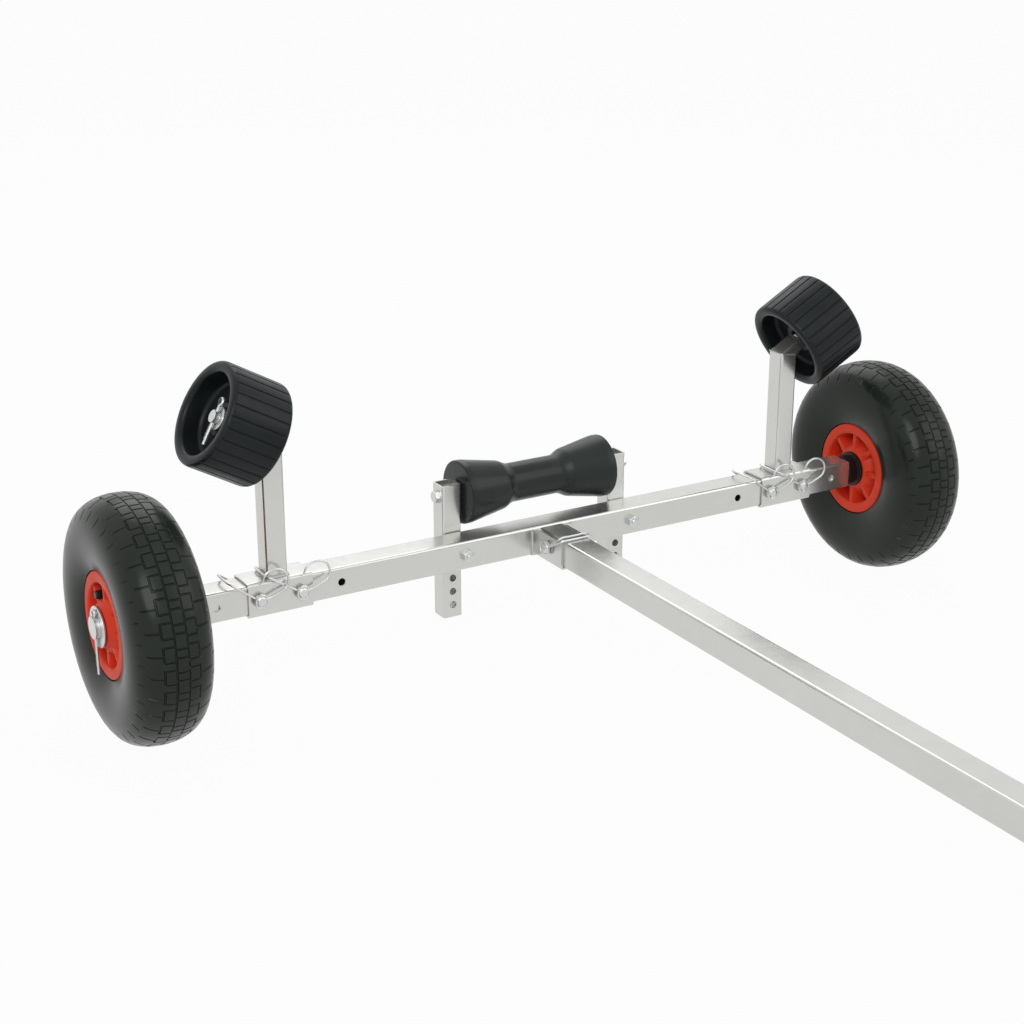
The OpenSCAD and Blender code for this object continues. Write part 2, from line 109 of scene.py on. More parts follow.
@dataclass
class Surface:
    """Points and quads of one or more shells, with one value for each point.

    Fields:
        points: array of shape (n, 3), in millimetres.
        quads: array of shape (m, 4) of point numbers.
        value: array of shape (n,), the depth below the outer form, which the finish turns into
            painted shade in the grooves.
    """

    points: Array
    quads: Array
    value: Array | None = None

    def values(self) -> Array:
        """The values, or zeros where there are none."""
        return np.zeros(len(self.points)) if self.value is None else self.value

    def joined(self, *others: "Surface") -> "Surface":
        """One surface of this and the others, point lists laid end to end.

        Args:
            others: the surfaces to add.
        Returns:
            The joined surface.
        """
        every = (self, *others)
        starts = np.cumsum([0] + [len(s.points) for s in every[:-1]])
        return Surface(
            np.concatenate([s.points for s in every]),
            np.concatenate([s.quads + k for s, k in zip(every, starts)]),
            np.concatenate([s.values() for s in every]),
        )

    def outward(self) -> "Surface":
        """The closed shell, faces outwards: flipped where its signed volume is negative."""
        a, b, c, d = (self.points[self.quads[:, k]] for k in range(4))
        volume = np.einsum("ij,ij->", a, np.cross(b, c)) + np.einsum("ij,ij->", a, np.cross(c, d))
        return self if volume > 0 else Surface(self.points, self.quads[:, ::-1], self.value)

    def placed(self, origin: Array, axis: Array, up: Array) -> "Surface":
        """The surface with its +Z along axis, its +X along up, and its origin moved.

        Args:
            origin: where the local origin goes.
            axis: direction of the local +Z.
            up: direction of the local +X.
        Returns:
            The placed surface: origin + x up + y (axis x up) + z axis.
        """
        frame = np.stack([up, np.cross(axis, up), axis])
        return Surface(self.points @ frame + np.asarray(origin), self.quads, self.value)


def lattice(points: Array, wrap_u: bool, wrap_v: bool, value: Array | None = None) -> Surface:
    """Quads between neighbouring points of a grid.

    Args:
        points: array of shape (nu, nv, 3).
        wrap_u: whether the last row joins the first.
        wrap_v: whether the last column joins the first.
        value: array of shape (nu, nv), or None.
    Returns:
        The surface, its faces turned outwards.
    """
    nu, nv = points.shape[:2]
    u, v = np.meshgrid(
        np.arange(nu if wrap_u else nu - 1), np.arange(nv if wrap_v else nv - 1), indexing="ij"
    )
    u1, v1 = (u + 1) % nu, (v + 1) % nv
    quads = np.stack([u * nv + v, u1 * nv + v, u1 * nv + v1, u * nv + v1], -1).reshape(-1, 4)
    flat = None if value is None else value.reshape(-1)
    return Surface(points.reshape(-1, 3), quads, flat).outward()


def rounded(corners: Array, cut: float, steps: int = 4, closed: bool = True) -> Array:
    """A polyline with its corners rounded.

    Each corner p is replaced by the curve (1-t)^2 a + 2t(1-t) p + t^2 b, where a and b lie on the
    lines that meet there, cut away from p or at LONGEST_CUT of the shorter line.

    Args:
        corners: array of shape (n, 2) or (n, 3).
        cut: how far from the corner the curve starts.
        steps: pieces of each curve.
        closed: whether the last line returns to the first corner.
    Returns:
        The points of the rounded line.
    """
    p = np.asarray(corners, float)
    before, after = np.roll(p, 1, 0) - p, np.roll(p, -1, 0) - p
    la, lb = np.linalg.norm(before, axis=1), np.linalg.norm(after, axis=1)
    c = np.minimum(cut, LONGEST_CUT * np.minimum(la, lb))
    a = p + before * (c / np.maximum(la, 1e-9))[:, None]
    b = p + after * (c / np.maximum(lb, 1e-9))[:, None]
    t = np.linspace(0, 1, steps + 1)[None, :, None]
    curve = (1 - t) ** 2 * a[:, None] + 2 * t * (1 - t) * p[:, None] + t**2 * b[:, None]
    if closed:
        return curve.reshape(-1, p.shape[1])
    return np.concatenate([p[:1], curve[1:-1].reshape(-1, p.shape[1]), p[-1:]])


def smooth_path(points: Array, steps: int = 8) -> Array:
    """Curve through points: between b and c it is half of
    2b + (c-a)t + (2a-5b+4c-d)t^2 + (3b-a-3c+d)t^3, with a before b and d after c.

    Args:
        points: array of shape (n, k).
        steps: pieces between neighbouring points.
    Returns:
        Array of shape ((n-1) steps + 1, k).
    """
    p = np.asarray(points, float)
    q = np.concatenate([2 * p[:1] - p[1:2], p, 2 * p[-1:] - p[-2:-1]])
    a, b, c, d = (q[k : len(q) - 3 + k, None] for k in range(4))
    t = (np.arange(steps) / steps)[None, :, None]
    curve = 0.5 * (
        2 * b + (c - a) * t + (2 * a - 5 * b + 4 * c - d) * t**2 + (3 * b - a - 3 * c + d) * t**3
    )
    return np.concatenate([curve.reshape(-1, p.shape[1]), p[-1:]])


def whole_turn(steps: int) -> Array:
    """Evenly spaced angles of a whole turn."""
    return np.arange(steps) * (2 * math.pi / steps)


def around(r: Array, a: Array, z: Array) -> Array:
    """Points (r cos a, r sin a, z) of a grid, from arrays that are broadcast together."""
    r, a, z = np.broadcast_arrays(r, a, z)
    return np.stack([r * np.cos(a), r * np.sin(a), z], -1)


def turned(profile: Array, steps: int = 64, closed: bool = True) -> Surface:
    """A profile of (radius, height) turned about +Z: (r cos a, r sin a, h).

    Args:
        profile: array of shape (n, 2).
        steps: steps round the axis.
        closed: whether the profile is a loop; an open one ends on the axis.
    Returns:
        The turned surface.
    """
    r, h = np.asarray(profile, float).T
    return lattice(around(r[None], whole_turn(steps)[:, None], h[None]), True, closed)


def turned_peg(outline: list[list[float]], cut: float, steps: int) -> Surface:
    """A line of (radius, height) from the axis to the axis, its corners rounded, turned about +Z.

    Args:
        outline: corners of the line.
        cut: how far from a corner its curve starts.
        steps: steps round the axis.
    Returns:
        The closed peg.
    """
    return turned(rounded(np.array(outline), cut, closed=False), steps, False)


def turned_ring(outline: list[list[float]], cut: float, steps: int = 64) -> Surface:
    """A loop of (radius, height), its corners rounded, turned about +Z.

    Args:
        outline: corners of the loop.
        cut: how far from a corner its curve starts.
        steps: steps round the axis.
    Returns:
        The closed ring.
    """
    return turned(rounded(np.array(outline), cut), steps)


def circle(diameter: float, steps: int = 12) -> Array:
    """Points of a circle about the origin."""
    a = whole_turn(steps)
    return diameter / 2 * np.stack([np.cos(a), np.sin(a)], -1)


def carried(
    path: Array, profile: Array, side: Array, loop: bool = False, size: Array | None = None
) -> Surface:
    """A closed profile carried along a path.

    At each path point p with tangent t, b is the part of side square to t and n = b x t; the
    surface is p + x n + y b. The ends of an open path are closed by shrinking the profile to p.

    Args:
        path: array of shape (m, 3).
        profile: array of shape (k, 2).
        side: direction that is nowhere along the path.
        loop: whether the path returns to its start.
        size: factor on the profile at each path point, or None.
    Returns:
        The carried surface.
    """
    if loop:
        t = np.roll(path, -1, 0) - np.roll(path, 1, 0)
    else:
        t = np.gradient(path, axis=0)
    t = t / np.linalg.norm(t, axis=1, keepdims=True)
    b = side - (t @ side)[:, None] * t
    b = b / np.linalg.norm(b, axis=1, keepdims=True)
    n = np.cross(b, t)
    k = np.ones(len(path)) if size is None else size
    grid = (
        path[:, None]
        + (k[:, None] * profile[None, :, 0])[..., None] * n[:, None]
        + (k[:, None] * profile[None, :, 1])[..., None] * b[:, None]
    )
    if not loop:
        middle = profile.mean(0)
        ends = path + (k * middle[0])[:, None] * n + (k * middle[1])[:, None] * b
        cap = np.ones((1, len(profile), 1))
        grid = np.concatenate([ends[0] * cap, grid, ends[-1] * cap])
    return lattice(grid, loop, True)


def hexagon_head(flats: float, height: float, collar: float = 0.0) -> Surface:
    """Hexagonal head along +Z with its corners chamfered.

    The radius is the lesser of the hexagon's, flats / 2 / cos(angle from the nearest flat's
    middle), and a cone that narrows to 0.47 flats at the top; a round collar may lie under it.

    Args:
        flats: width across the flats.
        height: height of the head.
        collar: thickness of the collar at its foot.
    Returns:
        The closed head.
    """
    top_r, slope, collar_r = 0.47 * flats, 1.73, 0.62 * flats
    a = whole_turn(72)
    sixth = math.pi / 3
    hexagon = flats / 2 / np.cos((a + sixth / 2) % sixth - sixth / 2)
    chamfer = height - np.array([1.6, 1.2, 0.8, 0.4, 0.0, 0.0])
    z = np.concatenate([[0, 0, collar, collar], chamfer])
    r = np.minimum(hexagon[:, None], (top_r + (height - z) * slope)[None])
    r[:, 0] = r[:, -1] = 0.0
    if collar > 0:
        r[:, 1:3] = collar_r
    return lattice(around(r, a[:, None], z[None]), True, False)


def threaded_rod(diameter: float, start: float, end: float, pitch: float) -> Surface:
    """Rod along +Z with a thread.

    The radius falls by 0.3 pitch in a V that climbs one pitch a turn, and a cone chamfers the end.

    Args:
        diameter: outside diameter.
        start: lower end.
        end: upper end.
        pitch: climb of the thread.
    Returns:
        The closed rod.
    """
    depth, chamfer, slope, rings_a_pitch = 0.3 * pitch, 0.9, 0.8, 6
    a = whole_turn(32)[:, None]
    z = np.linspace(start, end, max(int((end - start) / pitch * rings_a_pitch), 8))
    climb = (z[None] / pitch - a / (2 * math.pi)) % 1.0
    r = diameter / 2 - 2 * depth * np.abs(climb - 0.5)
    r = np.minimum(r, diameter / 2 - chamfer + (end - z)[None] * slope)
    r = np.pad(r, ((0, 0), (1, 1)))
    z = np.concatenate([z[:1], z, z[-1:]])
    return lattice(around(r, a, z[None]), True, False)


def split_pin(thick: float, top: float, bottom: float, eye: float) -> Surface:
    """Split pin along Z in the local X-Z plane: half-round wire up one leg, round the eye and down.

    Args:
        thick: diameter of the two legs together.
        top: where the eye begins.
        bottom: end of the longer leg.
        eye: radius of the eye's inner line.
    Returns:
        The closed pin, with one leg shorter than the other and both a little spread.
    """
    lean = math.radians(20)
    a = np.linspace(math.pi + math.pi / 2 - lean, -math.pi / 2 + lean, 33)
    ring = np.stack([eye * np.cos(a), np.zeros_like(a), top + eye + eye * np.sin(a)], -1)
    neck, short = top - 1.5, bottom + 0.12 * (top - bottom)
    rise = np.linspace(0, 1, 12)[:, None]
    up = np.array([-1.6, 0, bottom]) * (1 - rise) + np.array([-0.12, 0, neck]) * rise
    down = np.array([0.12, 0, neck]) * (1 - rise) + np.array([0.9, 0, short]) * rise
    h = np.linspace(-math.pi / 2, math.pi / 2, 9)
    half_round = thick / 2 * np.stack([np.cos(h), np.sin(h)], -1)
    return carried(np.concatenate([up, ring, down]), half_round, -BACK)


# Finishes


@dataclass(frozen=True)
class Finish:
    """One procedural material: two tones, cloudy and fine noise, a fine relief, and painted shade
    in the grooves where a groove colour is given.

    Fields:
        name: the material's name.
        slot: the record's slot it stands for; not used.
        tones: darker and lighter colour, linear.
        cloud: scale of the cloudy change of tone, per metre.
        gloss: lowest and highest roughness.
        grain: scale of the fine relief, per metre.
        relief: depth of the fine relief, in metres.
        metal: metallic share.
        sheen: weight of the sheen.
        shine: level of the plain reflection, 0.5 for common plastics.
        groove: colour of the painted shade in the hollows, or None.
        spangle: scale of crystal patches, per metre, or 0.
    """

    name: str
    slot: Slot
    tones: tuple[tuple[float, float, float], tuple[float, float, float]]
    cloud: float = 30.0
    gloss: tuple[float, float] = (0.4, 0.5)
    grain: float = 900.0
    relief: float = 0.00005
    metal: float = 0.0
    sheen: float = 0.0
    shine: float = 0.5
    groove: tuple[float, float, float] | None = None
    spangle: float = 0.0

    def material(self) -> bpy.types.Material:
        """The material, made on its first use, with its patterns in Object coordinates.

        Returns:
            A node material, or the one that was made before.
        """
        made = bpy.data.materials.get(self.name)
        if made is not None:
            return made
        made = bpy.data.materials.new(self.name)
        made.use_nodes = True
        nodes, links = made.node_tree.nodes, made.node_tree.links
        shader = nodes["Principled BSDF"]
        shader.inputs["Metallic"].default_value = self.metal
        shader.inputs["Sheen Weight"].default_value = self.sheen
        shader.inputs["Specular IOR Level"].default_value = self.shine
        place = nodes.new("ShaderNodeTexCoord").outputs["Object"]

        def noise(scale: float, detail: float) -> bpy.types.NodeSocket:
            """Noise in Object coordinates."""
            node = nodes.new("ShaderNodeTexNoise")
            node.inputs["Scale"].default_value = scale
            node.inputs["Detail"].default_value = detail
            links.new(place, node.inputs["Vector"])
            return node.outputs["Fac"]

        def spread(value: bpy.types.NodeSocket, ends: tuple[float, float]) -> bpy.types.NodeSocket:
            """The middle of a noise's range, spread between two ends."""
            node = nodes.new("ShaderNodeMapRange")
            levels = (*NOISE_RANGE, *ends)
            for name, level in zip(("From Min", "From Max", "To Min", "To Max"), levels):
                node.inputs[name].default_value = level
            links.new(value, node.inputs["Value"])
            return node.outputs["Result"]

        factor = spread(noise(self.cloud, CLOUD_DETAIL), (0.0, 1.0))
        if self.spangle:
            cells = nodes.new("ShaderNodeTexVoronoi")
            cells.inputs["Scale"].default_value = self.spangle
            links.new(place, cells.inputs["Vector"])
            patch = nodes.new("ShaderNodeSeparateColor")
            links.new(cells.outputs["Color"], patch.inputs["Color"])
            cloudy, both = nodes.new("ShaderNodeMath"), nodes.new("ShaderNodeMath")
            cloudy.operation, both.operation = "MULTIPLY", "MULTIPLY_ADD"
            cloudy.inputs[1].default_value = 1 - PATCH_SHARE
            both.inputs[1].default_value = PATCH_SHARE
            links.new(factor, cloudy.inputs[0])
            links.new(patch.outputs["Red"], both.inputs[0])
            links.new(cloudy.outputs[0], both.inputs[2])
            factor = both.outputs[0]
        tone = nodes.new("ShaderNodeMix")
        tone.data_type = "RGBA"
        tone.inputs["A"].default_value = (*self.tones[0], 1)
        tone.inputs["B"].default_value = (*self.tones[1], 1)
        links.new(factor, tone.inputs["Factor"])
        colour = tone.outputs["Result"]
        # Painted shade: the groove colour darkens the hollows by their depth, where shade falls.
        if self.groove is not None:
            depth = nodes.new("ShaderNodeAttribute")
            depth.attribute_name = "hollow"
            hollow = nodes.new("ShaderNodeMix")
            hollow.data_type = "RGBA"
            hollow.inputs["B"].default_value = (*self.groove, 1)
            links.new(depth.outputs["Fac"], hollow.inputs["Factor"])
            links.new(colour, hollow.inputs["A"])
            colour = hollow.outputs["Result"]
        links.new(colour, shader.inputs["Base Color"])
        links.new(spread(factor, self.gloss), shader.inputs["Roughness"])
        bump = nodes.new("ShaderNodeBump")
        bump.inputs["Strength"].default_value = RELIEF_STRENGTH
        bump.inputs["Distance"].default_value = self.relief
        links.new(noise(self.grain, GRAIN_DETAIL), bump.inputs["Height"])
        links.new(bump.outputs["Normal"], shader.inputs["Normal"])
        return made


# The zinc's roughness stays under 0.27: past it the noise filter turns the fine relief into specks.
ZINC = Finish(
    "zinc_plate", Slot.ZINC, ((0.615, 0.615, 0.59), (0.65, 0.65, 0.625)),
    cloud=9, gloss=(0.23, 0.265), grain=700, relief=0.000003, metal=0.85, spangle=90,
)
BRIGHT = Finish(
    "bright_zinc", Slot.ZINC, ((0.62, 0.63, 0.63), (0.70, 0.71, 0.71)),
    cloud=60, gloss=(0.28, 0.36), grain=1500, relief=0.00001, metal=0.85,
)
WELD = Finish(
    "weld_zinc", Slot.ZINC, ((0.45, 0.46, 0.46), (0.60, 0.61, 0.61)),
    cloud=150, gloss=(0.3, 0.42), grain=1200, relief=0.00008, metal=0.8,
)
RED = Finish(
    "red_moulding", Slot.RED, ((0.74, 0.046, 0.016), (0.84, 0.064, 0.022)),
    cloud=22, gloss=(0.40, 0.5), grain=1500, relief=0.00003, shine=0.25,
)
# The tyre's groove colour is painted shade, darker in the tread's hollows.
TYRE = Finish(
    "tyre_tread", Slot.TYRE, ((0.013, 0.0175, 0.013), (0.020, 0.026, 0.020)),
    cloud=18, gloss=(0.20, 0.26), grain=1800, relief=0.00002, shine=0.21,
    groove=(0.010, 0.0135, 0.010),
)
# The roller's groove colour is painted shade, darker in its grooves.
ROLLER = Finish(
    "roller_moulding", Slot.ROLLER, ((0.007, 0.0095, 0.0105), (0.012, 0.0155, 0.017)),
    cloud=25, gloss=(0.3, 0.4), grain=1600, relief=0.00003, shine=0.2,
    groove=(0.003, 0.004, 0.004),
)
KEEL = Finish(
    "keel_moulding", Slot.ROLLER, ((0.013, 0.018, 0.016), (0.020, 0.026, 0.024)),
    cloud=25, gloss=(0.24, 0.32), grain=1600, relief=0.00003, shine=0.25,
)
BLACK = Finish(
    "black_moulding", Slot.BLACK, ((0.008, 0.008, 0.008), (0.015, 0.015, 0.015)),
    cloud=40, gloss=(0.32, 0.42), grain=1700, relief=0.00003, shine=0.25,
)
GRIP = Finish(
    "grip_moulding", Slot.GRIP, ((0.012, 0.012, 0.012), (0.022, 0.022, 0.022)),
    cloud=40, gloss=(0.5, 0.62), grain=1400, relief=0.00008, sheen=0.1,
)


# Making of pieces


@dataclass
class Bench:
    """Makes meshes, dresses them and reports them.

    Fields:
        nodes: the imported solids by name.
        made: names of the pieces made so far.
    """

    nodes: dict[str, bpy.types.Object]
    made: list[str] = field(default_factory=list)

    def piece(
        self,
        name: str,
        shape: Surface,
        body: str,
        finish: Finish,
        stands_for: tuple[str, ...] = (),
        crease: float = 38.0,
    ) -> bpy.types.Object:
        """A piece from a surface: equal points are welded, and pinched quads become triangles.

        Args:
            name: the piece's name.
            shape: its surface, in millimetres around the axle's middle.
            body: the body it moves with.
            finish: its material.
            stands_for: the solids it replaces.
            crease: angle past which an edge is sharp, in degrees.
        Returns:
            The new object.
        """
        metres = np.round((shape.points + AXLE) / 1000, 7)
        points, first, order = np.unique(metres, axis=0, return_index=True, return_inverse=True)
        quads = order.reshape(-1)[shape.quads]
        same = quads == np.roll(quads, -1, 1)
        count = same.sum(1)
        full, short = quads[count == 0], quads[count == 1]
        triangles = short[~same[count == 1]].reshape(-1, 3)
        mesh = bpy.data.meshes.new(name)
        mesh.vertices.add(len(points))
        mesh.vertices.foreach_set("co", points.astype(np.float32).reshape(-1))
        corners = np.concatenate([full.reshape(-1), triangles.reshape(-1)]).astype(np.int32)
        starts = np.concatenate([
            np.arange(len(full)) * 4, len(full) * 4 + np.arange(len(triangles)) * 3,
        ])
        mesh.loops.add(len(corners))
        mesh.loops.foreach_set("vertex_index", corners)
        mesh.polygons.add(len(starts))
        mesh.polygons.foreach_set("loop_start", starts.astype(np.int32))
        # Painted shade: each point's groove depth is stored on the mesh for the darker groove
        # colour.
        if finish.groove is not None:
            hollow = mesh.attributes.new("hollow", "FLOAT", "POINT")
            hollow.data.foreach_set("value", shape.values()[first].astype(np.float32))
        mesh.update(calc_edges=True)
        mesh.validate()
        return self._finished(name, mesh, body, finish, stands_for, crease)

    def skin(self, node: str, body: str, finish: Finish, crease: float = 30.0) -> bpy.types.Object:
        """A copy of a solid's mesh, its points merged, with smooth shading round its small corners.

        Args:
            node: the solid.
            body: the body it moves with.
            finish: its material.
            crease: angle past which an edge is sharp, in degrees.
        Returns:
            The new object, which replaces the solid.
        """
        old = self.nodes[node].data
        co = np.empty(len(old.vertices) * 3, np.float32)
        old.vertices.foreach_get("co", co)
        corner = np.empty(len(old.loops), np.int32)
        old.loops.foreach_get("vertex_index", corner)
        points, order = np.unique(np.round(co.reshape(-1, 3), 6), axis=0, return_inverse=True)
        triangles = order.reshape(-1)[corner].reshape(-1, 3)
        whole = (triangles != np.roll(triangles, -1, 1)).all(1)
        mesh = bpy.data.meshes.new(node + "_skin")
        mesh.from_pydata(points.tolist(), [], triangles[whole].tolist())
        mesh.validate()
        made = self._finished(node + "_skin", mesh, body, finish, (node,), crease)
        weighted = made.modifiers.new("weighted", "WEIGHTED_NORMAL")
        weighted.mode = "FACE_AREA"
        weighted.keep_sharp = True
        return made

    def _finished(
        self,
        name: str,
        mesh: bpy.types.Mesh,
        body: str,
        finish: Finish,
        stands_for: tuple[str, ...],
        crease: float,
    ) -> bpy.types.Object:
        """The object of a mesh, shaded, dressed, riding on its body and reported.

        Args:
            name: the piece's name.
            mesh: its mesh.
            body: the body it moves with.
            finish: its material.
            stands_for: the solids it replaces.
            crease: angle past which an edge is sharp, in degrees.
        Returns:
            The new object.
        """
        mesh.shade_smooth()
        mesh.set_sharp_from_angle(angle=math.radians(crease))
        made = bpy.data.objects.new(name, mesh)
        bpy.context.scene.collection.objects.link(made)
        made.data.materials.append(finish.material())
        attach(made, body)
        if stands_for:
            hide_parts(*stands_for)
        self.made.append(name)
        log.info("%s: %d faces on %s", name, len(mesh.polygons), body)
        return made


# Wheels


@dataclass
class Wheel:
    """Pneumatic wheel: block-tread tyre, ribbed rim, hub bush, valve, washer and split pin.

    Fields:
        side: which wheel it is.
        track: distance between the wheels' middles.
        tyre_r, half_w: the tyre's radius and half width.
        rim_r, seat_r, seat_h: radii of the flange and the tyre's seat, half width of the seat.
        pitches: pitches of the tread round the tyre.
        groove_top, groove_floor: half width of a groove at its top and at its floor.
        block_l, middle_l: half lengths of a block in the outer rows and in the middle one.
        middle_w, outer_w: half widths of the middle row and of all three rows.
        long_at, long_end: place of the long cut in a pitch, and where it ends.
        short_at, short_span: place of the short cut in a pitch, and where it starts and ends.
        depths: depths of the blocks' grooves, the long cuts and the short cuts.
        tread_half, tread_drop: half width of the tread, and how far it comes down from the crown.
        lean_rate, lean_span: lean of the cuts towards the shoulder, and the width it grows over.
        tread_lines, pitch_lines: further grid lines across the tread and round a pitch.
        wall_steps: grid lines down a side wall, with the tread's last one.
        full_shade: depth of a hollow that has the full painted groove shade.
        ribs, rib_t, rib_h: number of the rim's ribs, their thickness and their height.
        valve_r, bush_r, axle_r: radii of the valve's place, the bush and the axle.
        fit: clearance round the axle.
        washer_x: place of the washer along the axle.
        casing, lining: half sections, as shares of the tyre's height and half width.
        web: section of the rim inside the flange: radius, height of the web inboard and outboard,
            and height in the valve's pocket.
        flange: section of the flange and the tyre's seat: radius and height.
    """

    side: Side
    track: float = 1022.0
    tyre_r: float = 137.5
    half_w: float = 45.0
    rim_r: float = 59.5
    seat_r: float = 54.0
    seat_h: float = 33.0
    pitches: int = 34
    groove_top: float = 1.25
    groove_floor: float = 0.4
    block_l: float = 8.2
    middle_l: float = 4.5
    middle_w: float = 6.75
    outer_w: float = 19.0
    long_at: float = -1.5
    long_end: float = 33.4
    short_at: float = 11.0
    short_span: tuple[float, float] = (37.0, 40.4)
    depths: tuple[float, float, float] = (1.25, 1.1, 0.8)
    tread_half: float = 43.0
    tread_drop: float = 36.0
    lean_rate: float = 0.006
    lean_span: float = 22.0
    tread_lines: tuple[float, ...] = (
        0.0, 2.9, 10.0, 13.0, 16.0, 21.8, 24.5, 27.2, 30.0, 32.5,
        33.9, 34.4, 36.0, 36.4, 37.2, 39.0, 40.4, 41.4, 42.4,
    )
    pitch_lines: tuple[float, ...] = (1.5, 6.4, -6.4, -10.7)
    wall_steps: int = 13
    full_shade: float = 1.5
    ribs: int = 8
    rib_t: float = 6.0
    rib_h: float = 34.0
    valve_r: float = 33.55
    bush_r: float = 19.0
    axle_r: float = 12.5
    fit: float = 0.3
    washer_x: float = 552.0
    casing: tuple[tuple[float, float], ...] = (
        (0.012, 0.815), (0.055, 0.858), (0.13, 0.909), (0.235, 0.96), (0.35, 0.991),
        (0.465, 1.0), (0.58, 0.987), (0.685, 0.947), (0.775, 0.88), (0.852, 0.782),
        (0.915, 0.644), (0.958, 0.478), (0.987, 0.278), (1.0, 0.0),
    )
    lining: tuple[tuple[float, float], ...] = (
        (0.085, 0.622), (0.2, 0.724), (0.315, 0.791), (0.44, 0.822), (0.57, 0.809),
        (0.685, 0.733), (0.79, 0.578), (0.84, 0.355), (0.85, 0.0),
    )
    web: tuple[tuple[float, float, float, float], ...] = (
        (19.2, 34.6, 38.9, 38.9), (20.1, 35.5, 39.8, 39.8), (22.4, 35.5, 39.8, 39.8),
        (23.2, 35.4, 39.2, 39.2), (24.0, 35.1, 38.2, 38.2), (26.0, 33.6, 36.3, 36.3),
        (28.0, 32.0, 34.4, 34.4), (28.5, 31.6, 33.9, 33.0), (29.1, 31.0, 33.3, 10.0),
        (29.7, 30.4, 32.7, 7.2), (31.1, 28.9, 31.2, 6.0), (36.0, 22.6, 24.6, 6.0),
        (40.0, 16.2, 17.6, 6.0), (43.2, 10.4, 11.0, 6.0), (44.6, 9.0, 9.4, 7.2),
        (45.4, 11.0, 11.2, 10.0),
    )
    flange: tuple[tuple[float, float], ...] = (
        (46.3, 33.6), (46.7, 35.4), (47.4, 36.5), (48.4, 37.0), (57.3, 37.0), (58.5, 36.7),
        (59.2, 36.0), (59.5, 34.8), (59.5, 33.35), (54.0, 33.3), (54.0, 0.0),
    )

    @property
    def body(self) -> str:
        """Name of the wheel's body."""
        return "wheel_" + self.side.word

    @property
    def out(self) -> Array:
        """Direction outboard along the axle."""
        return self.side.value * ALONG

    def placed(self, shape: Surface) -> Surface:
        """A shape about local +Z, moved to the wheel with +Z outboard and +X up."""
        return shape.placed(self.out * self.track / 2, self.out, UP)

    def section(self) -> tuple[Array, Array]:
        """Outer section of the casing against the distance along it.

        Returns:
            Distances from the crown, and points (radius, lateral) there, for one half.
        """
        h, steps, gap = self.tyre_r - self.rim_r, 16, 0.4
        table = np.array(self.casing)[::-1]
        half = np.stack([self.rim_r + table[:, 0] * h, table[:, 1] * self.half_w], -1)
        mirrored = np.concatenate([half[:0:-1] * [1, -1], half])
        line = smooth_path(mirrored, steps)[(len(half) - 1) * steps :]
        foot = np.array([[self.rim_r + gap, self.seat_h], [self.seat_r + gap, self.seat_h]])
        line = np.concatenate([line, foot])
        s = np.concatenate([[0], np.cumsum(np.linalg.norm(np.diff(line, axis=0), axis=1))])
        return s, line

    def edges(self, at: tuple[float, ...]) -> Array:
        """Grid lines at the upper and lower edges of narrow grooves about the places at."""
        top, floor = self.groove_top, self.groove_floor
        return (np.array(at)[:, None] + np.array([-top, -floor, floor, top])[None]).reshape(-1)

    def tread(self, turn: Array, w: Array) -> Array:
        """Depth of the tread's grooves.

        Closed blocks stand in three rows, staggered by half a pitch; long grooves run from the
        outer rows to the shoulder and short cuts lie beyond them. A groove has a flat floor and
        steep walls: its share is (half width at the top - distance from its middle) / width of a
        wall, kept between 0 and 1.

        Args:
            turn: distance round the tyre from the pitch's middle, in millimetres.
            w: lateral distance from the crown.
        Returns:
            Depth in millimetres.
        """
        top, wall = self.groove_top, self.groove_top - self.groove_floor

        def groove(x: Array, at: float) -> Array:
            """Share of a groove about at."""
            return np.clip((top - np.abs(x - at)) / wall, 0, 1)

        def within(x: Array, low: float, high: float) -> Array:
            """Share of the stretch between low and high."""
            return np.clip((np.minimum(x - low, high - x) + top) / wall, 0, 1)

        v, a = np.abs(w), np.abs(turn)
        blocks = np.maximum.reduce([
            groove(a, self.block_l) * within(v, self.middle_w, self.outer_w),
            groove(v, self.outer_w) * within(turn, -self.block_l, self.block_l),
            groove(v, self.middle_w) * np.ones_like(turn),
            groove(a, self.middle_l) * within(w, -self.middle_w, self.middle_w),
        ])
        long_cut = groove(turn, self.long_at) * within(v, self.outer_w, self.long_end)
        short_cut = groove(turn, self.short_at) * within(v, *self.short_span)
        cuts = (blocks, long_cut, short_cut)
        return np.maximum.reduce([depth * cut for depth, cut in zip(self.depths, cuts)])

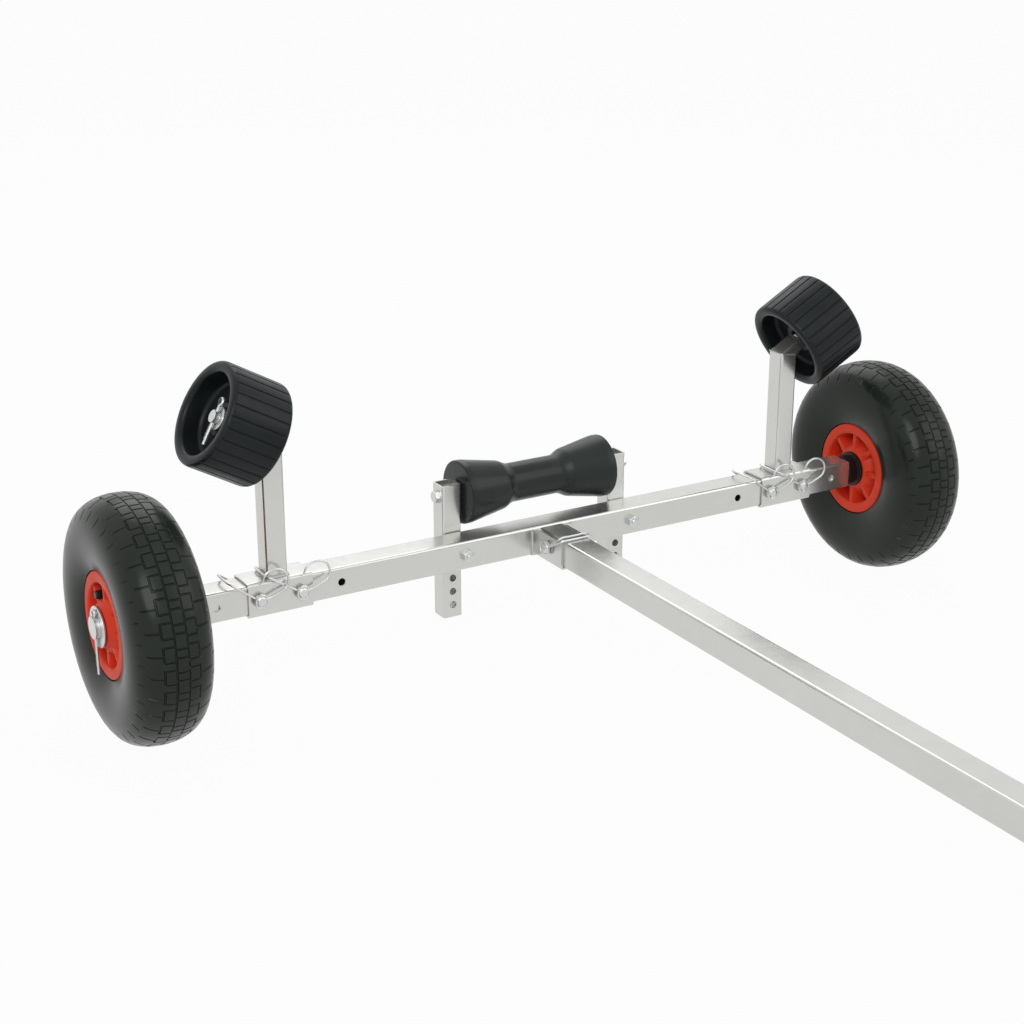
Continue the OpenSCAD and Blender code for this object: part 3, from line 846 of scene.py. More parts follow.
    def tyre(self) -> Surface:
        """Tyre as a grid of angle and distance across the section.

        A point is the section's point at that distance, sunk along the section's normal by the
        tread's depth, and turned about the axle; towards the shoulders the lines of the grid lean
        forward by lean_rate (|w| - outer_w)^2. The lining closes the shell inside.

        Returns:
            The tyre in the wheel's frame.
        """
        s, line = self.section()
        outer = int(np.argmax(line[:, 1]))
        cuts = np.concatenate([self.edges((self.middle_w, self.outer_w)), self.tread_lines])
        tread_s = np.interp(np.sort(cuts), line[:outer, 1], s[:outer])
        wall_s = np.linspace(tread_s[-1], s[-3], self.wall_steps)[1:]
        half_s = np.concatenate([tread_s, wall_s, s[-2:]])
        across = np.concatenate([-half_s[:0:-1], half_s])
        r = np.interp(np.abs(across), s, line[:, 0])
        w = np.sign(across) * np.interp(np.abs(across), s, line[:, 1])
        dr, dw = np.gradient(r, across), np.gradient(w, across)
        size = np.hypot(dr, dw)
        pitch = 2 * math.pi * self.tyre_r / self.pitches
        block, middle = self.block_l, self.middle_l
        lines = self.edges((-block, -middle, self.long_at, middle, block, self.short_at))
        lines = np.sort(np.concatenate([lines, self.pitch_lines]))
        turn = np.tile(lines, self.pitches)
        angle = (np.repeat(np.arange(self.pitches), len(lines)) * pitch + turn) / self.tyre_r
        on_tread = (np.abs(w) < self.tread_half) & (r > self.tyre_r - self.tread_drop)
        depth = self.tread(turn[:, None], w[None]) * on_tread
        beyond = np.clip(np.abs(w) - self.outer_w, 0, self.lean_span)
        lean = self.lean_rate * beyond**2 * on_tread / self.tyre_r
        lining = np.array(self.lining) * [self.tyre_r - self.rim_r, self.half_w] + [self.rim_r, 0]
        lining = np.concatenate([lining, lining[-2::-1] * [1, -1]])
        inside = np.broadcast_to(lining, (len(turn), *lining.shape))
        full_r = np.concatenate([r[None] - depth * (dw / size), inside[..., 0]], 1)
        full_w = np.concatenate([w[None] + depth * (dr / size), inside[..., 1]], 1)
        a = angle[:, None] + np.concatenate([lean, np.zeros(len(lining))])[None]
        # Painted shade: the grooves darken with their depth, fully at full_shade.
        hollow = np.clip(depth / self.full_shade, 0, 1)
        shade = np.concatenate([hollow, np.zeros(inside.shape[:2])], 1)
        return lattice(around(full_r, a, full_w), True, True, shade)

    def rim(self) -> Surface:
        """Rim as a height field over rings and rays, on both faces.

        Along a ray the height follows the section over a rib or over the coned web, which falls
        from the hub to the flange; the sector that holds the valve follows the open pocket's
        section on the outboard face. Rays stand at fixed distances d from a rib's middle, at the
        angle asin(d / r), so the ribs have parallel sides, and the share of the web's section
        rises from 0 to 1 across each side.

        Returns:
            The closed rim in the wheel's frame.
        """
        section = np.concatenate([self.web, np.array(self.flange)[:, [0, 1, 1, 1]]])
        r = section[:, 0]
        d = self.rib_t / 2 + np.array([-self.rib_t / 2, -1.0, -0.35, 0.0, 0.35, 0.9, 1.3, 2.2])
        share = np.array([0.0, 0.0, 0.012, 0.06, 0.5, 0.95, 0.99, 1.0])
        near = np.arcsin(np.clip(d[:, None] / r[None], -1, 1))
        sector = 2 * math.pi / self.ribs
        between = np.linspace(0, 1, 7)[1:-1, None]
        middle = between * (sector - 2 * near[-1])[None] + near[-1][None]
        rays = np.concatenate([near, middle, sector - near[:0:-1]])
        rays_share = np.concatenate([share, np.ones(len(between)), share[:0:-1]])
        angle = (rays[None] + np.arange(self.ribs)[:, None, None] * sector).reshape(-1, len(r))
        share_all = np.tile(rays_share, self.ribs)[:, None]
        over_rib = np.where(r < self.flange[0][0], self.rib_h, 0.0)

        def face(height: Array) -> Array:
            """Heights of a face, from its section over the web."""
            return share_all * height + (1 - share_all) * np.maximum(height, over_rib)

        valve_sector = self.ribs - 1 if self.side is Side.RIGHT else 0
        at_valve = np.repeat(np.arange(self.ribs) == valve_sector, len(rays))[:, None]
        inboard = face(section[None, :, 1])
        outboard = face(np.where(at_valve, section[None, :, 3], section[None, :, 2]))
        both_r = np.concatenate([r, r[-2::-1]])
        both_z = np.concatenate([outboard, -inboard[:, -2::-1]], 1)
        both_a = np.concatenate([angle, angle[:, -2::-1]], 1)
        return lattice(around(both_r[None], both_a, both_z), True, True)

    def valve(self) -> Surface:
        """Valve in its pocket: a rubber stem and a ribbed cap, turned about its own axis.

        Returns:
            The closed stem and cap in the wheel's frame.
        """
        stem = [[0, 0], [4.7, 0], [4.4, 6], [4.0, 9], [4.0, 19.8], [0, 19.8]]
        a = whole_turn(60)
        z = np.array([18.8, 18.8, 19.6, 31.0, 32.3, 32.8, 32.8])
        k = np.array([0, 0.93, 1.0, 1.0, 0.93, 0.8, 0])
        ribbed = 4.6 + 0.15 * np.cos(20 * a)
        cap = lattice(around(ribbed[:, None] * k[None], a[:, None], z[None]), True, False)
        turn, floor = math.pi / self.ribs, 6.0
        place = np.array([math.cos(turn), -self.side.value * math.sin(turn), 0]) * self.valve_r
        place[2] = floor
        return turned_peg(stem, 1.2, 40).joined(cap).placed(place, UP, ALONG)

    def build(self, bench: Bench) -> None:
        """Makes and dresses the wheel's pieces, and the washer and pin that hold it.

        Args:
            bench: where the pieces are made.
        """
        word, body = self.side.word, self.body
        tyre, rim = self.placed(self.tyre()), self.placed(self.rim())
        bench.piece(f"tread_tyre_{word}", tyre, body, TYRE, (f"tyre_{word}",), 32)
        bench.piece(f"ribbed_rim_{word}", rim, body, RED, (f"rim_{word}",), 40)
        bore, bush_r, edge_r = self.axle_r + self.fit, self.bush_r, 22.6
        inner, outer, low, high = -54.1, 40.6, -40.0, -35.8
        bush = self.placed(turned_ring([
            [bore, inner], [bush_r, inner], [bush_r, low], [edge_r, low], [edge_r, high],
            [bush_r, high], [bush_r, outer], [bore, outer],
        ], 0.8))
        bench.piece(f"hub_bush_{word}", bush, body, BLACK, (f"bush_{word}",))
        valve = self.placed(self.valve())
        bench.piece(f"air_valve_{word}", valve, body, BLACK, (f"valve_{word}",))
        washer_r, washer_t = 23.0, 2.5
        washer = turned_ring(
            [[bore, 0], [washer_r, 0], [washer_r, washer_t], [bore, washer_t]], 0.7, 72
        ).placed(self.out * self.washer_x, self.out, UP)
        bench.piece(f"washer_hub_{word}", washer, "frame", BRIGHT, (f"hub_washer_{word}",))
        pin = split_pin(3.2, 14.0, -53.5, 2.6).placed(self.out * (self.washer_x + 4.6), UP, BACK)
        bench.piece(f"split_pin_hub_{word}", pin, "frame", BRIGHT, (f"hub_pin_{word}",))
        bench.skin(f"stub_axle_{word}", "frame", BRIGHT)


# Beam and drawbar


@dataclass
class SpringPin:
    """Locking pin with a domed head, a coiled spring and a wire bail.

    Fields:
        name: the solid it stands for.
        body: the body it moves with.
        origin: middle of the pin.
        axis: direction from the head to the tip.
        half: half the width of what the pin goes through.
        reach: how far the bail's long arm stands off the pin.
        loop: size of the bail's finger loop.
        wire: diameter of the wire.
        paired: whether the bail is two arms side by side.
        solid: whether the shank goes through.
    """

    name: str
    body: str
    origin: Array
    axis: Array
    half: float
    reach: float = 34.0
    loop: float = 28.0
    wire: float = 2.6
    paired: bool = False
    solid: bool = False

    def local(self, points: Array) -> Array:
        """Points of the pin's frame, X to the right of its axis and Y along it, at their place."""
        right = np.cross(self.axis, UP)
        return points @ np.stack([right, self.axis, UP]) + self.origin

    def arms(self) -> list[tuple[Array, Array]]:
        """Paths of the bail's arms.

        Returns:
            For each arm its points in the pin's frame and a direction that is nowhere along it.
        """
        h, r, d = self.half, self.reach, self.loop
        if self.paired:
            lean, spread = 30.0, 3.0
            rows = np.array([
                (0.02, -h - 3.6, 0, 0), (0.45, -h - 3.4, 0.4 * h, 0), (0.86, -h - 2.6, 0.8 * h, 0),
                (1, -0.86 * h, 0, 1), (1, -0.3 * h, 0, 1), (1, 0.3 * h, 0, 1), (1, 0.86 * h, 0, 1),
                (0.86, h + 2.6, 0.8 * h, 0), (0.45, h + 3.4, 0.4 * h, 0), (0.02, h + 3.6, 0, 0),
            ])
            scales = [
                np.array([
                    [lean + e * spread, 0, 0], [0, 1, 0], [0, 0, 1], [0, 0, h - 0.3 - 0.9 * e],
                ])
                for e in (-1, 1)
            ]
            return [(rows @ scale, ALONG) for scale in scales]
        long_arm = np.array([
            (-0.12 * r, -h - 3, 0.12 * h), (-0.35 * r, -h - 1.7, 0.41 * h),
            (-0.63 * r, -h - 1.7, 0.77 * h), (-0.83 * r, -h - 1.2, h + 0.4),
            (-0.95 * r, -h + 2, h + 3.5), (-r, -h + 8, h + 3.8), (-r, 0, h + 3.8),
            (-r, h - 8, h + 3.8), (-0.95 * r, h - 2, h + 3.2), (-0.78 * r, h + 2.4, 0.9 * h),
            (-0.4 * r, h + 3.6, 0.45 * h), (0, h + 3.6, 0),
        ])
        a = np.radians(np.arange(-40, 177, 36))
        back_off = 3 * (math.pi - a) / math.radians(220)
        ring = np.stack([
            0.62 * d + 0.54 * d * np.cos(a), -h - 2 - back_off, h + 0.5 * d * np.sin(a),
        ], -1)
        foot = np.array([(5, -h - 5, 2), (0.45 * d, -h - 6, 0.22 * h), (0.8 * d, -h - 6, 0.4 * h)])
        return [(long_arm, (ALONG + UP) / math.sqrt(2)), (np.concatenate([foot, ring]), BACK)]

    def build(self, bench: Bench) -> None:
        """Makes the head, the coil, the shank's ends and the bail as one piece.

        Args:
            bench: where the pieces are made.
        """
        h, shank_r = self.half, 4
        front, back = np.array([0.0, -h, 0.0]), np.array([0.0, h, 0.0])
        dome = [[0, -7.0], [4.6, -6.8], [7, -4.2], [7, -0.2], [0, -0.2]]
        tip = [[0, 0.3], [shank_r, 0.3], [shank_r, 5.6], [2.6, 7.0], [0, 7.0]]
        parts = [
            turned_peg(dome, 1.6, 32).placed(front, BACK, UP),
            turned_peg(tip, 0.8, 28).placed(back, BACK, UP),
        ]
        coil_r, climb, start = 7.4, 1.35, 0.4
        a = np.linspace(start, start + 3.2 * math.pi, 70)
        along = -h - 1.9 - climb * (a - start) / math.pi
        coil = np.stack([coil_r * np.cos(a), along, coil_r * np.sin(a)], -1)
        parts.append(carried(coil, circle(self.wire * 0.92, 8), BACK))
        for path, side in self.arms():
            parts.append(carried(smooth_path(path, 7), circle(self.wire, 10), side))
        if self.solid:
            end = 2 * h + 1
            shank = [[0, -1], [shank_r, -1], [shank_r, end], [0, end]]
            parts.append(turned_peg(shank, 0.4, 28).placed(front, BACK, UP))
        whole = parts[0].joined(*parts[1:])
        whole.points = self.local(whole.points)
        bench.piece(f"spring_{self.name}", whole, self.body, BRIGHT, (self.name,))


@dataclass
class Bolt:
    """Hexagon bolt with its nut, along an axis.

    Fields:
        start: face under the head.
        axis: direction from the head to the nut.
        grip: distance between the head and the nut.
        tail: length of the thread beyond the nut's foot.
        turn: direction of a corner of the head and the nut.
        thick: diameter of the shank.
        flats: width across the flats.
        head, nut: heights of the head and the nut.
        collar: thickness of the head's collar.
        pitch: climb of the thread.
    """

    start: Array
    axis: Array
    grip: float
    tail: float
    turn: Array = field(default_factory=lambda: UP)
    thick: float = 8.0
    flats: float = 13.0
    head: float = 5.5
    nut: float = 6.5
    collar: float = 0.7
    pitch: float = 1.25

    def shape(self) -> Surface:
        """Head, shank, thread and nut as closed shells.

        Returns:
            The bolt at its place.
        """
        r, end = self.thick / 2, self.grip + 1
        shank = turned(np.array([[0, -1], [r, -1], [r, end], [0, end]]), 40, False)
        thread = threaded_rod(self.thick, self.grip, self.grip + self.tail, self.pitch)
        head = hexagon_head(self.flats, self.head, self.collar)
        nut = hexagon_head(self.flats, self.nut)
        return head.placed(self.start, -self.axis, self.turn).joined(
            shank.placed(self.start, self.axis, self.turn),
            thread.placed(self.start, self.axis, self.turn),
            nut.placed(self.start + self.axis * self.grip, self.axis, self.turn),
        )


def bead(path: Array, radius: float, side: Array, loop: bool) -> Surface:
    """Weld bead: a circle carried along a path, its radius rippling by 9% every 2.4 mm and
    by 5% every 10.3 mm.

    Args:
        path: points of the seam, evenly spaced.
        radius: mean radius of the bead.
        side: direction that is nowhere along the seam.
        loop: whether the seam closes on itself.
    Returns:
        The bead.
    """
    step = np.linalg.norm(np.diff(path, axis=0), axis=1)
    s = np.concatenate([[0], np.cumsum(step)])
    size = 1 + 0.09 * np.cos(s * (2 * math.pi / 2.4)) + 0.05 * np.sin(s * 0.61 + 1.0)
    return carried(path, circle(2 * radius, 8), side, loop, size)


def spaced(corners: Array, step: float, loop: bool) -> Array:
    """Points every step or so along the lines between corners, found by their distance along them.

    Args:
        corners: array of shape (n, 3).
        step: wanted distance between points.
        loop: whether the line returns to its first corner.
    Returns:
        The points.
    """
    p = np.concatenate([corners, corners[:1]]) if loop else np.asarray(corners, float)
    s = np.concatenate([[0], np.cumsum(np.linalg.norm(np.diff(p, axis=0), axis=1))])
    at = np.linspace(0, s[-1], int(s[-1] / step) + 1, endpoint=not loop)
    return np.stack([np.interp(at, s, p[:, k]) for k in range(3)], -1)


@dataclass
class Chassis:
    """Beam, drawbar with its socket, pin, handle and prop leg, and the bolts through them.

    Fields:
        beam_s, bar_s: widths of the beam and the drawbar.
        bar_z: height of the drawbar's middle.
        pin_y: place of the drawbar's pin.
        handle_y, handle_l, handle_r: place of the handle, its length and its radius.
        grip_l: length of a grip along the handle.
        leg_y, leg_s: place of the prop leg and its width.
        leg_pitch: distance between the leg's bolts.
    """

    beam_s: float = 35.0
    bar_s: float = 33.0
    bar_z: float = -1.0
    pin_y: float = -41.0
    handle_y: float = -1440.0
    handle_l: float = 420.0
    handle_r: float = 12.7
    grip_l: float = 142.8
    leg_y: float = -1300.0
    leg_s: float = 25.0
    leg_pitch: float = 17.0

    def grip(self, side: Side) -> Surface:
        """Hand grip: a flanged sleeve whose barrel has shallow rings, 0.7 mm deep every 6 mm.

        Args:
            side: which end of the handle.
        Returns:
            The closed grip.
        """
        r, e = self.handle_r, self.handle_l / 2
        b = e - self.grip_l
        z = np.linspace(b + 15, e - 13, 200)
        wave = np.abs(np.sin((z - b - 15) * (math.pi / 6.0)))
        barrel = np.stack([r + 2.8 + 0.7 * np.sqrt(wave), z], -1)
        collar = rounded(np.array([
            [r, b], [r + 7.8, b], [r + 7.8, b + 6], [r + 4.3, b + 9], [r + 3.3, b + 14],
        ]), 1.8, closed=False)
        end = rounded(np.array([
            [r + 3.3, e - 12], [r + 4.6, e - 3], [r + 4.6, e + 2], [r, e + 5], [0, e + 5],
            [0, e + 0.2], [r, e + 0.2],
        ]), 2.5, closed=False)
        middle = np.array([0, self.handle_y, self.bar_z])
        whole = turned(np.concatenate([collar, barrel, end]), 56)
        return whole.placed(middle, side.value * ALONG, UP)

    def socket_welds(self) -> Surface:
        """Beads down both edges of the socket's flanges, where they meet the beam.

        Returns:
            The two beads.
        """
        edge, face = self.bar_s / 2 + 0.2 + 10.0, -self.beam_s / 2 - 0.3
        low, high = -16.5, 14.5
        seams = [
            spaced(np.array([[s * edge, face, low], [s * edge, face, high]]), 0.5, False)
            for s in (-1, 1)
        ]
        left, right = (bead(seam, 1.7, ALONG, False) for seam in seams)
        return left.joined(right)

    def build(self, bench: Bench) -> None:
        """Makes and dresses the pieces of the chassis.

        Args:
            bench: where the pieces are made.
        """
        for node in ("axle_beam", "drawbar", "drawbar_socket", "prop_leg", "handle_bar"):
            bench.skin(node, "frame", ZINC)
        for node in ("drawbar_cap", "leg_foot"):
            bench.skin(node, "frame", BLACK)
        bench.piece("socket_welds", self.socket_welds(), "frame", WELD)
        pin_at = np.array([0, self.pin_y, self.bar_z])
        SpringPin(
            "drawbar_pin", "frame", pin_at, ALONG, self.bar_s / 2 + 2.8, paired=True, solid=True
        ).build(bench)
        for side in Side:
            word = side.word
            bench.piece(f"hand_grip_{word}", self.grip(side), "frame", GRIP, (f"grip_{word}",))
        left = -self.bar_s / 2 - self.leg_s
        upper, lower = (
            Bolt(np.array([left, self.leg_y, self.bar_z + z]), ALONG, self.bar_s / 2 - left, 10.0)
            for z in (self.leg_pitch / 2, -self.leg_pitch / 2)
        )
        bolts = upper.shape().joined(lower.shape())
        bench.piece("bolts_of_leg", bolts, "frame", BRIGHT, ("leg_bolts",))


# Keel roller


@dataclass
class KeelRoller:
    """Waisted roller on a bolt between two posts behind the beam.

    Fields:
        length, radius, bore: the roller's length, and the radii of its ends and its bore.
        y, z: place of its axle.
        post_x, post_s: place of a post and its width.
        beam_s: width of the beam.
    """

    length: float = 200.0
    radius: float = 38.0
    bore: float = 4.3
    y: float = 30.0
    z: float = 60.5
    post_x: float = 115.0
    post_s: float = 25.0
    beam_s: float = 35.0

    def roller(self) -> Surface:
        """Roller: two cones that fall to a narrow waist, turned about the axle, with soft edges.

        Returns:
            The closed roller at its place.
        """
        h, r = self.length / 2, self.radius
        half = np.array([
            [self.bore, h], [r, h], [r, h - 8], [0.77 * r, 0.45 * h], [0.66 * r, 0.37 * h],
            [0.615 * r, 0.32 * h],
        ])
        loop = np.concatenate([half, half[::-1] * [1, -1]])
        return turned(rounded(loop, 2.2, 6), 112).placed(np.array([0, self.y, self.z]), ALONG, UP)

    def build(self, bench: Bench) -> None:
        """Makes and dresses the roller, its bolt, the posts and the bolts that hold them.

        Args:
            bench: where the pieces are made.
        """
        bench.piece("waisted_roller", self.roller(), "keel_roller", KEEL, ("keel_roller",), 60)
        e = self.post_x + self.post_s / 2
        axle = Bolt(np.array([-e, self.y, self.z]), ALONG, 2 * e, 9.0).shape()
        bench.piece("axle_bolt_keel", axle, "frame", BRIGHT, ("keel_axle",))
        front, back = -self.beam_s / 2, self.y + self.post_s / 2
        for side in Side:
            word = side.word
            bench.skin(f"keel_post_{word}", "frame", ZINC)
            at = np.array([side.value * self.post_x, back, 0])
            bolt = Bolt(at, -BACK, back - front, 8.5, ALONG).shape()
            bench.piece(f"post_bolt_{word}", bolt, "frame", BRIGHT, (f"keel_bolt_{word}",))


# Hull rollers


@dataclass
class HullSupport:
    """Sliding sleeve with two spring pins, post with a slanting stub, and tilted roller.

    Fields:
        side: which support it is.
        x, top: place of the post along the beam, and height where the roller's axle meets it.
        tilt: angle of the roller's axle, in degrees.
        out: distance along the axle from the post to the roller's middle.
        radius, length: the roller's radius and length.
        grooves, groove_w, groove_d: number of the roller's grooves, their width and depth.
        hub_half, web_half, bore: half lengths of the roller's hub and web, radius of its bore.
        stub_h, stub_drop: height of the stub's section, and how far it lies below the axle.
        sleeve_s, post_s: widths of the sleeve and the post.
        pin_off: distance of a lock pin from the post's middle.
    """

    side: Side
    x: float = 351.0
    top: float = 177.5
    tilt: float = 29.0
    out: float = 43.3
    radius: float = 59.5
    length: float = 75.0
    grooves: int = 28
    groove_w: float = 2.0
    groove_d: float = 1.2
    hub_half: float = 17.4
    web_half: float = 12.5
    bore: float = 7.3
    stub_h: float = 15.0
    stub_drop: float = 2.0
    sleeve_s: float = 40.4
    post_s: float = 25.0
    pin_off: float = 25.0

    @property
    def body(self) -> str:
        """Name of the support's body."""
        return "support_" + self.side.word

    @property
    def axis(self) -> Array:
        """Direction of the roller's axle, outboard and up."""
        t = math.radians(self.tilt)
        return np.array([self.side.value * math.cos(t), 0.0, math.sin(t)])

    @property
    def slope(self) -> Array:
        """Direction up the roller's end face."""
        t = math.radians(self.tilt)
        return np.array([-self.side.value * math.sin(t), 0.0, math.cos(t)])

    def on_axle(self, along: float) -> Array:
        """Point of the roller's axle at a distance from the post."""
        return np.array([self.side.value * self.x, 0.0, self.top]) + along * self.axis

    def roller(self) -> Surface:
        """Roller: a cupped section turned about its axle, cut by grooves along it.

        The radius at an angle is the lesser of the section's radius and the outer radius less the
        groove's depth there, so a groove runs out through the rounded edges.

        Returns:
            The closed roller at its place.
        """
        h, r = self.length / 2, self.radius
        half = np.array([
            [self.bore, self.hub_half], [20.2, self.hub_half], [20.8, self.web_half],
            [0.745 * r, self.web_half], [0.78 * r, h], [r, h],
        ])
        section = rounded(np.concatenate([half, half[::-1] * [1, -1]]), 6.0, 6)
        pitch = 2 * math.pi * r / self.grooves
        w = self.groove_w / 2
        edge = np.array([w - 0.35, w, w + 0.3, w + 0.75])
        plain = pitch * np.array([0.3, 0.5, 0.7])
        offset = np.concatenate([-edge[::-1], [0], edge, plain])
        depth = np.array([0, 0.06, 0.3, 0.9, 1.0, 0.9, 0.3, 0.06, 0, 0, 0, 0]) * self.groove_d
        a = ((np.arange(self.grooves)[:, None] * pitch + offset[None]) / r).reshape(-1)
        d = np.tile(depth, self.grooves)
        rr = np.minimum(section[None, :, 0], r - d[:, None])
        # Painted shade: the grooves' colour darkens with their depth.
        shade = np.clip((section[None, :, 0] - rr) / self.groove_d, 0, 1)
        whole = lattice(around(rr, a[:, None], section[None, :, 1]), True, True, shade)
        return whole.placed(self.on_axle(self.out), self.axis, self.slope)

    def welds(self) -> Surface:
        """Beads round the post's foot on the sleeve and round the stub's foot on the post's top.

        Returns:
            The two beads.
        """
        c = np.array([self.side.value * self.x, 0.0, 0.0])
        h = self.post_s / 2
        square = rounded(np.array([[h, h], [-h, h], [-h, -h], [h, -h]]) * 1.03, 3.0, 5)
        foot = np.concatenate([square, np.full((len(square), 1), self.sleeve_s / 2 + 0.3)], 1) + c
        t = math.radians(self.tilt)
        fall = (self.stub_h - self.post_s * math.sin(t)) / (self.post_s * math.cos(t))
        seam = np.concatenate([square * 0.985, -self.side.value * fall * square[:, :1] * 0.985], 1)
        seam = seam + c + UP * (self.top - self.stub_drop / math.cos(t))
        at_foot = bead(spaced(foot, 0.5, True), 1.9, UP, True)
        return at_foot.joined(bead(spaced(seam, 0.5, True), 0.9, UP, True))

    def build(self, bench: Bench) -> None:
        """Makes and dresses the support's pieces and its roller.

        Args:
            bench: where the pieces are made.
        """
        word, body, sign = self.side.word, self.body, self.side.value
        bench.skin(f"sleeve_{word}", body, ZINC)
        bench.skin(f"hull_post_{word}", body, ZINC)
        bench.skin(f"roller_rod_{word}", body, BRIGHT)
        bench.piece(f"welds_{word}", self.welds(), body, WELD)
        washer_at, washer_r, washer_t = self.out + self.hub_half + 0.4, 13.5, 2.5
        washer = turned_ring(
            [[self.bore, 0], [washer_r, 0], [washer_r, washer_t], [self.bore, washer_t]], 0.6, 56
        ).placed(self.on_axle(washer_at), self.axis, self.slope)
        bench.piece(f"washer_roller_{word}", washer, body, BRIGHT, (f"roller_washer_{word}",))
        pin_at = self.on_axle(washer_at + 5.2)
        pin = split_pin(4.2, 14.0, -31.5, 3.6).placed(pin_at, self.slope, BACK)
        bench.piece(f"split_pin_roller_{word}", pin, body, BRIGHT, (f"roller_pin_{word}",))
        short_reach, past_post = 34.0, self.pin_off + self.post_s / 2 + 2.5
        for end, place in ((1, "outer"), (-1, "inner")):
            reach = past_post if sign * end > 0 else short_reach
            at = np.array([sign * (self.x + end * self.pin_off), 0.0, 0.0])
            name = f"lock_pin_{word}_{place}"
            SpringPin(name, body, at, BACK, self.sleeve_s / 2, reach).build(bench)
        roller, node = self.roller(), f"hull_roller_{word}"
        bench.piece(f"grooved_roller_{word}", roller, f"roller_{word}", ROLLER, (node,), 50)


# Studio


@dataclass
class Lamp:
    """Soft area lamp that looks at a point, in metres and watts.

    Fields:
        name: the lamp's name.
        place: where it hangs.
        watts: its power.
        size: diameter of its disc.
        aim: the point it looks at.
    """

    name: str
    place: tuple[float, float, float]
    watts: float
    size: float
    aim: tuple[float, float, float] = (0.0, 0.55, 0.2)

    def build(self) -> None:
        """Adds the lamp to the scene."""
        data = bpy.data.lights.new(self.name, "AREA")
        data.energy, data.size, data.shape = self.watts, self.size, "DISK"
        lamp = bpy.data.objects.new(self.name, data)
        lamp.location = self.place
        aim = Vector(self.aim) - Vector(self.place)
        lamp.rotation_euler = aim.to_track_quat("-Z", "Y").to_euler()
        bpy.context.scene.collection.objects.link(lamp)


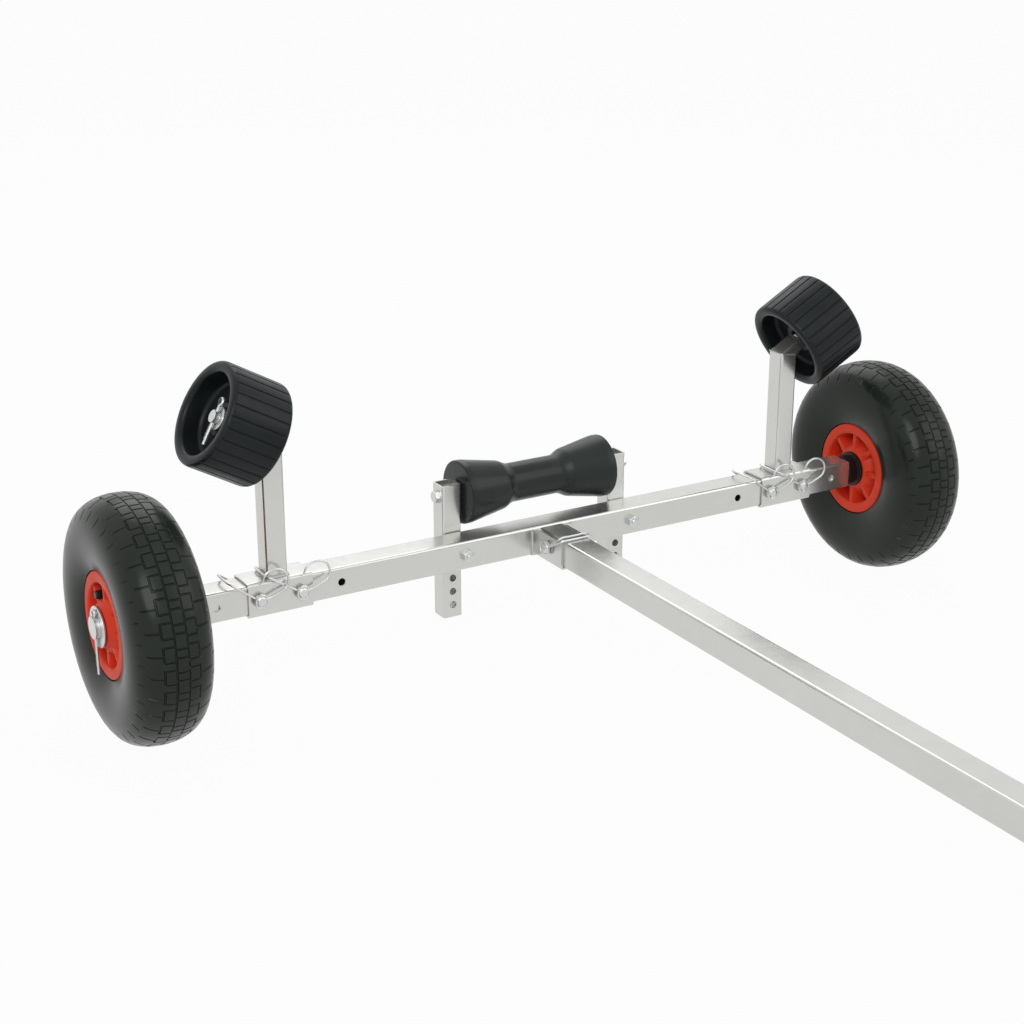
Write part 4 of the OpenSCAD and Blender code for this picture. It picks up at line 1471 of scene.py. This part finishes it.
@dataclass
class Studio:
    """Camera, floor, white surroundings and lamps.

    Fields:
        eye: the camera's place, in metres.
        turn: its rotation about X, Y and Z, in degrees.
        lens: its focal length, in millimetres.
        floor_half: half width of the floor.
        floor_white: share of plain white in the floor where it is seen.
        floor_tone: grey of the rest.
        world_fill: strength of the fill light from the surroundings.
        lamps: the lamps.
    """

    eye: tuple[float, float, float] = (-1.1199, -1.14595, 0.9426)
    turn: tuple[float, float, float] = (69.98, 0.0, -30.60)
    lens: float = 67.0
    floor_half: float = 30.0
    floor_white: float = 0.965
    floor_tone: float = 0.6
    world_fill: float = 0.5
    lamps: tuple[Lamp, ...] = (
        Lamp("key", (-2.3, -2.4, 3.0), 62.0, 2.8),
        Lamp("fill", (2.6, -2.0, 2.4), 26.0, 3.0),
        Lamp("back", (0.8, 3.2, 3.0), 30.0, 3.0),
    )

    def camera(self) -> None:
        """Adds the camera, level across, and makes it the scene's."""
        data = bpy.data.cameras.new("camera")
        data.lens, data.sensor_width = self.lens, 36.0
        camera = bpy.data.objects.new("camera", data)
        camera.location = self.eye
        camera.rotation_euler = [math.radians(a) for a in self.turn]
        bpy.context.scene.collection.objects.link(camera)
        bpy.context.scene.camera = camera

    @staticmethod
    def seen(nodes: bpy.types.Nodes, links: bpy.types.NodeLinks) -> bpy.types.NodeSocket:
        """Socket that is 1 for rays from the camera, a mirror or glass.

        Args:
            nodes: the tree's nodes.
            links: the tree's links.
        Returns:
            The greatest of Is Camera Ray, Is Glossy Ray and Is Transmission Ray.
        """
        path = nodes.new("ShaderNodeLightPath")
        first, second = nodes.new("ShaderNodeMath"), nodes.new("ShaderNodeMath")
        first.operation = second.operation = "MAXIMUM"
        links.new(path.outputs["Is Camera Ray"], first.inputs[0])
        links.new(path.outputs["Is Glossy Ray"], first.inputs[1])
        links.new(first.outputs[0], second.inputs[0])
        links.new(path.outputs["Is Transmission Ray"], second.inputs[1])
        return second.outputs[0]

    def world(self) -> None:
        """White surroundings where they are seen, and a plain fill light elsewhere."""
        world = bpy.data.worlds.new("surroundings")
        bpy.context.scene.world = world
        world.use_nodes = True
        nodes, links = world.node_tree.nodes, world.node_tree.links
        nodes.clear()
        out, mix = nodes.new("ShaderNodeOutputWorld"), nodes.new("ShaderNodeMixShader")
        fill, white = nodes.new("ShaderNodeBackground"), nodes.new("ShaderNodeBackground")
        fill.inputs["Color"].default_value = white.inputs["Color"].default_value = (1, 1, 1, 1)
        fill.inputs["Strength"].default_value = self.world_fill
        white.inputs["Strength"].default_value = 1.0
        links.new(self.seen(nodes, links), mix.inputs[0])
        links.new(fill.outputs[0], mix.inputs[1])
        links.new(white.outputs[0], mix.inputs[2])
        links.new(mix.outputs[0], out.inputs["Surface"])

    def floor(self) -> None:
        """Pale floor, mostly white where it is seen, that keeps the object's shadow."""
        material = bpy.data.materials.new("floor")
        material.use_nodes = True
        nodes, links = material.node_tree.nodes, material.node_tree.links
        nodes.clear()
        out, mix = nodes.new("ShaderNodeOutputMaterial"), nodes.new("ShaderNodeMixShader")
        matt, white = nodes.new("ShaderNodeBsdfDiffuse"), nodes.new("ShaderNodeEmission")
        matt.inputs["Color"].default_value = (*(self.floor_tone,) * 3, 1)
        share = nodes.new("ShaderNodeMath")
        share.operation = "MULTIPLY"
        share.inputs[1].default_value = self.floor_white
        links.new(self.seen(nodes, links), share.inputs[0])
        links.new(share.outputs[0], mix.inputs[0])
        links.new(matt.outputs[0], mix.inputs[1])
        links.new(white.outputs[0], mix.inputs[2])
        links.new(mix.outputs[0], out.inputs["Surface"])
        e = self.floor_half
        mesh = bpy.data.meshes.new("floor")
        mesh.from_pydata([(-e, -e, 0), (e, -e, 0), (e, e, 0), (-e, e, 0)], [], [(0, 1, 2, 3)])
        mesh.materials.append(material)
        floor = bpy.data.objects.new("floor", mesh)
        bpy.context.scene.collection.objects.link(floor)

    def build(self) -> None:
        """Sets up the studio."""
        bpy.context.scene.view_settings.view_transform = "Standard"
        self.camera()
        self.world()
        self.floor()
        for lamp in self.lamps:
            lamp.build()


def main() -> None:
    """Builds the studio and the trolley's looks around its solids."""
    logging.basicConfig(level=logging.INFO, format="%(name)s: %(message)s")
    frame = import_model()
    Studio().build()
    bench = Bench(frame["nodes"])
    Chassis().build(bench)
    for side in Side:
        Wheel(side).build(bench)
    KeelRoller().build(bench)
    for side in Side:
        HullSupport(side).build(bench)
    log.info("%d pieces made", len(bench.made))


if __name__ == "__main__":
    main()
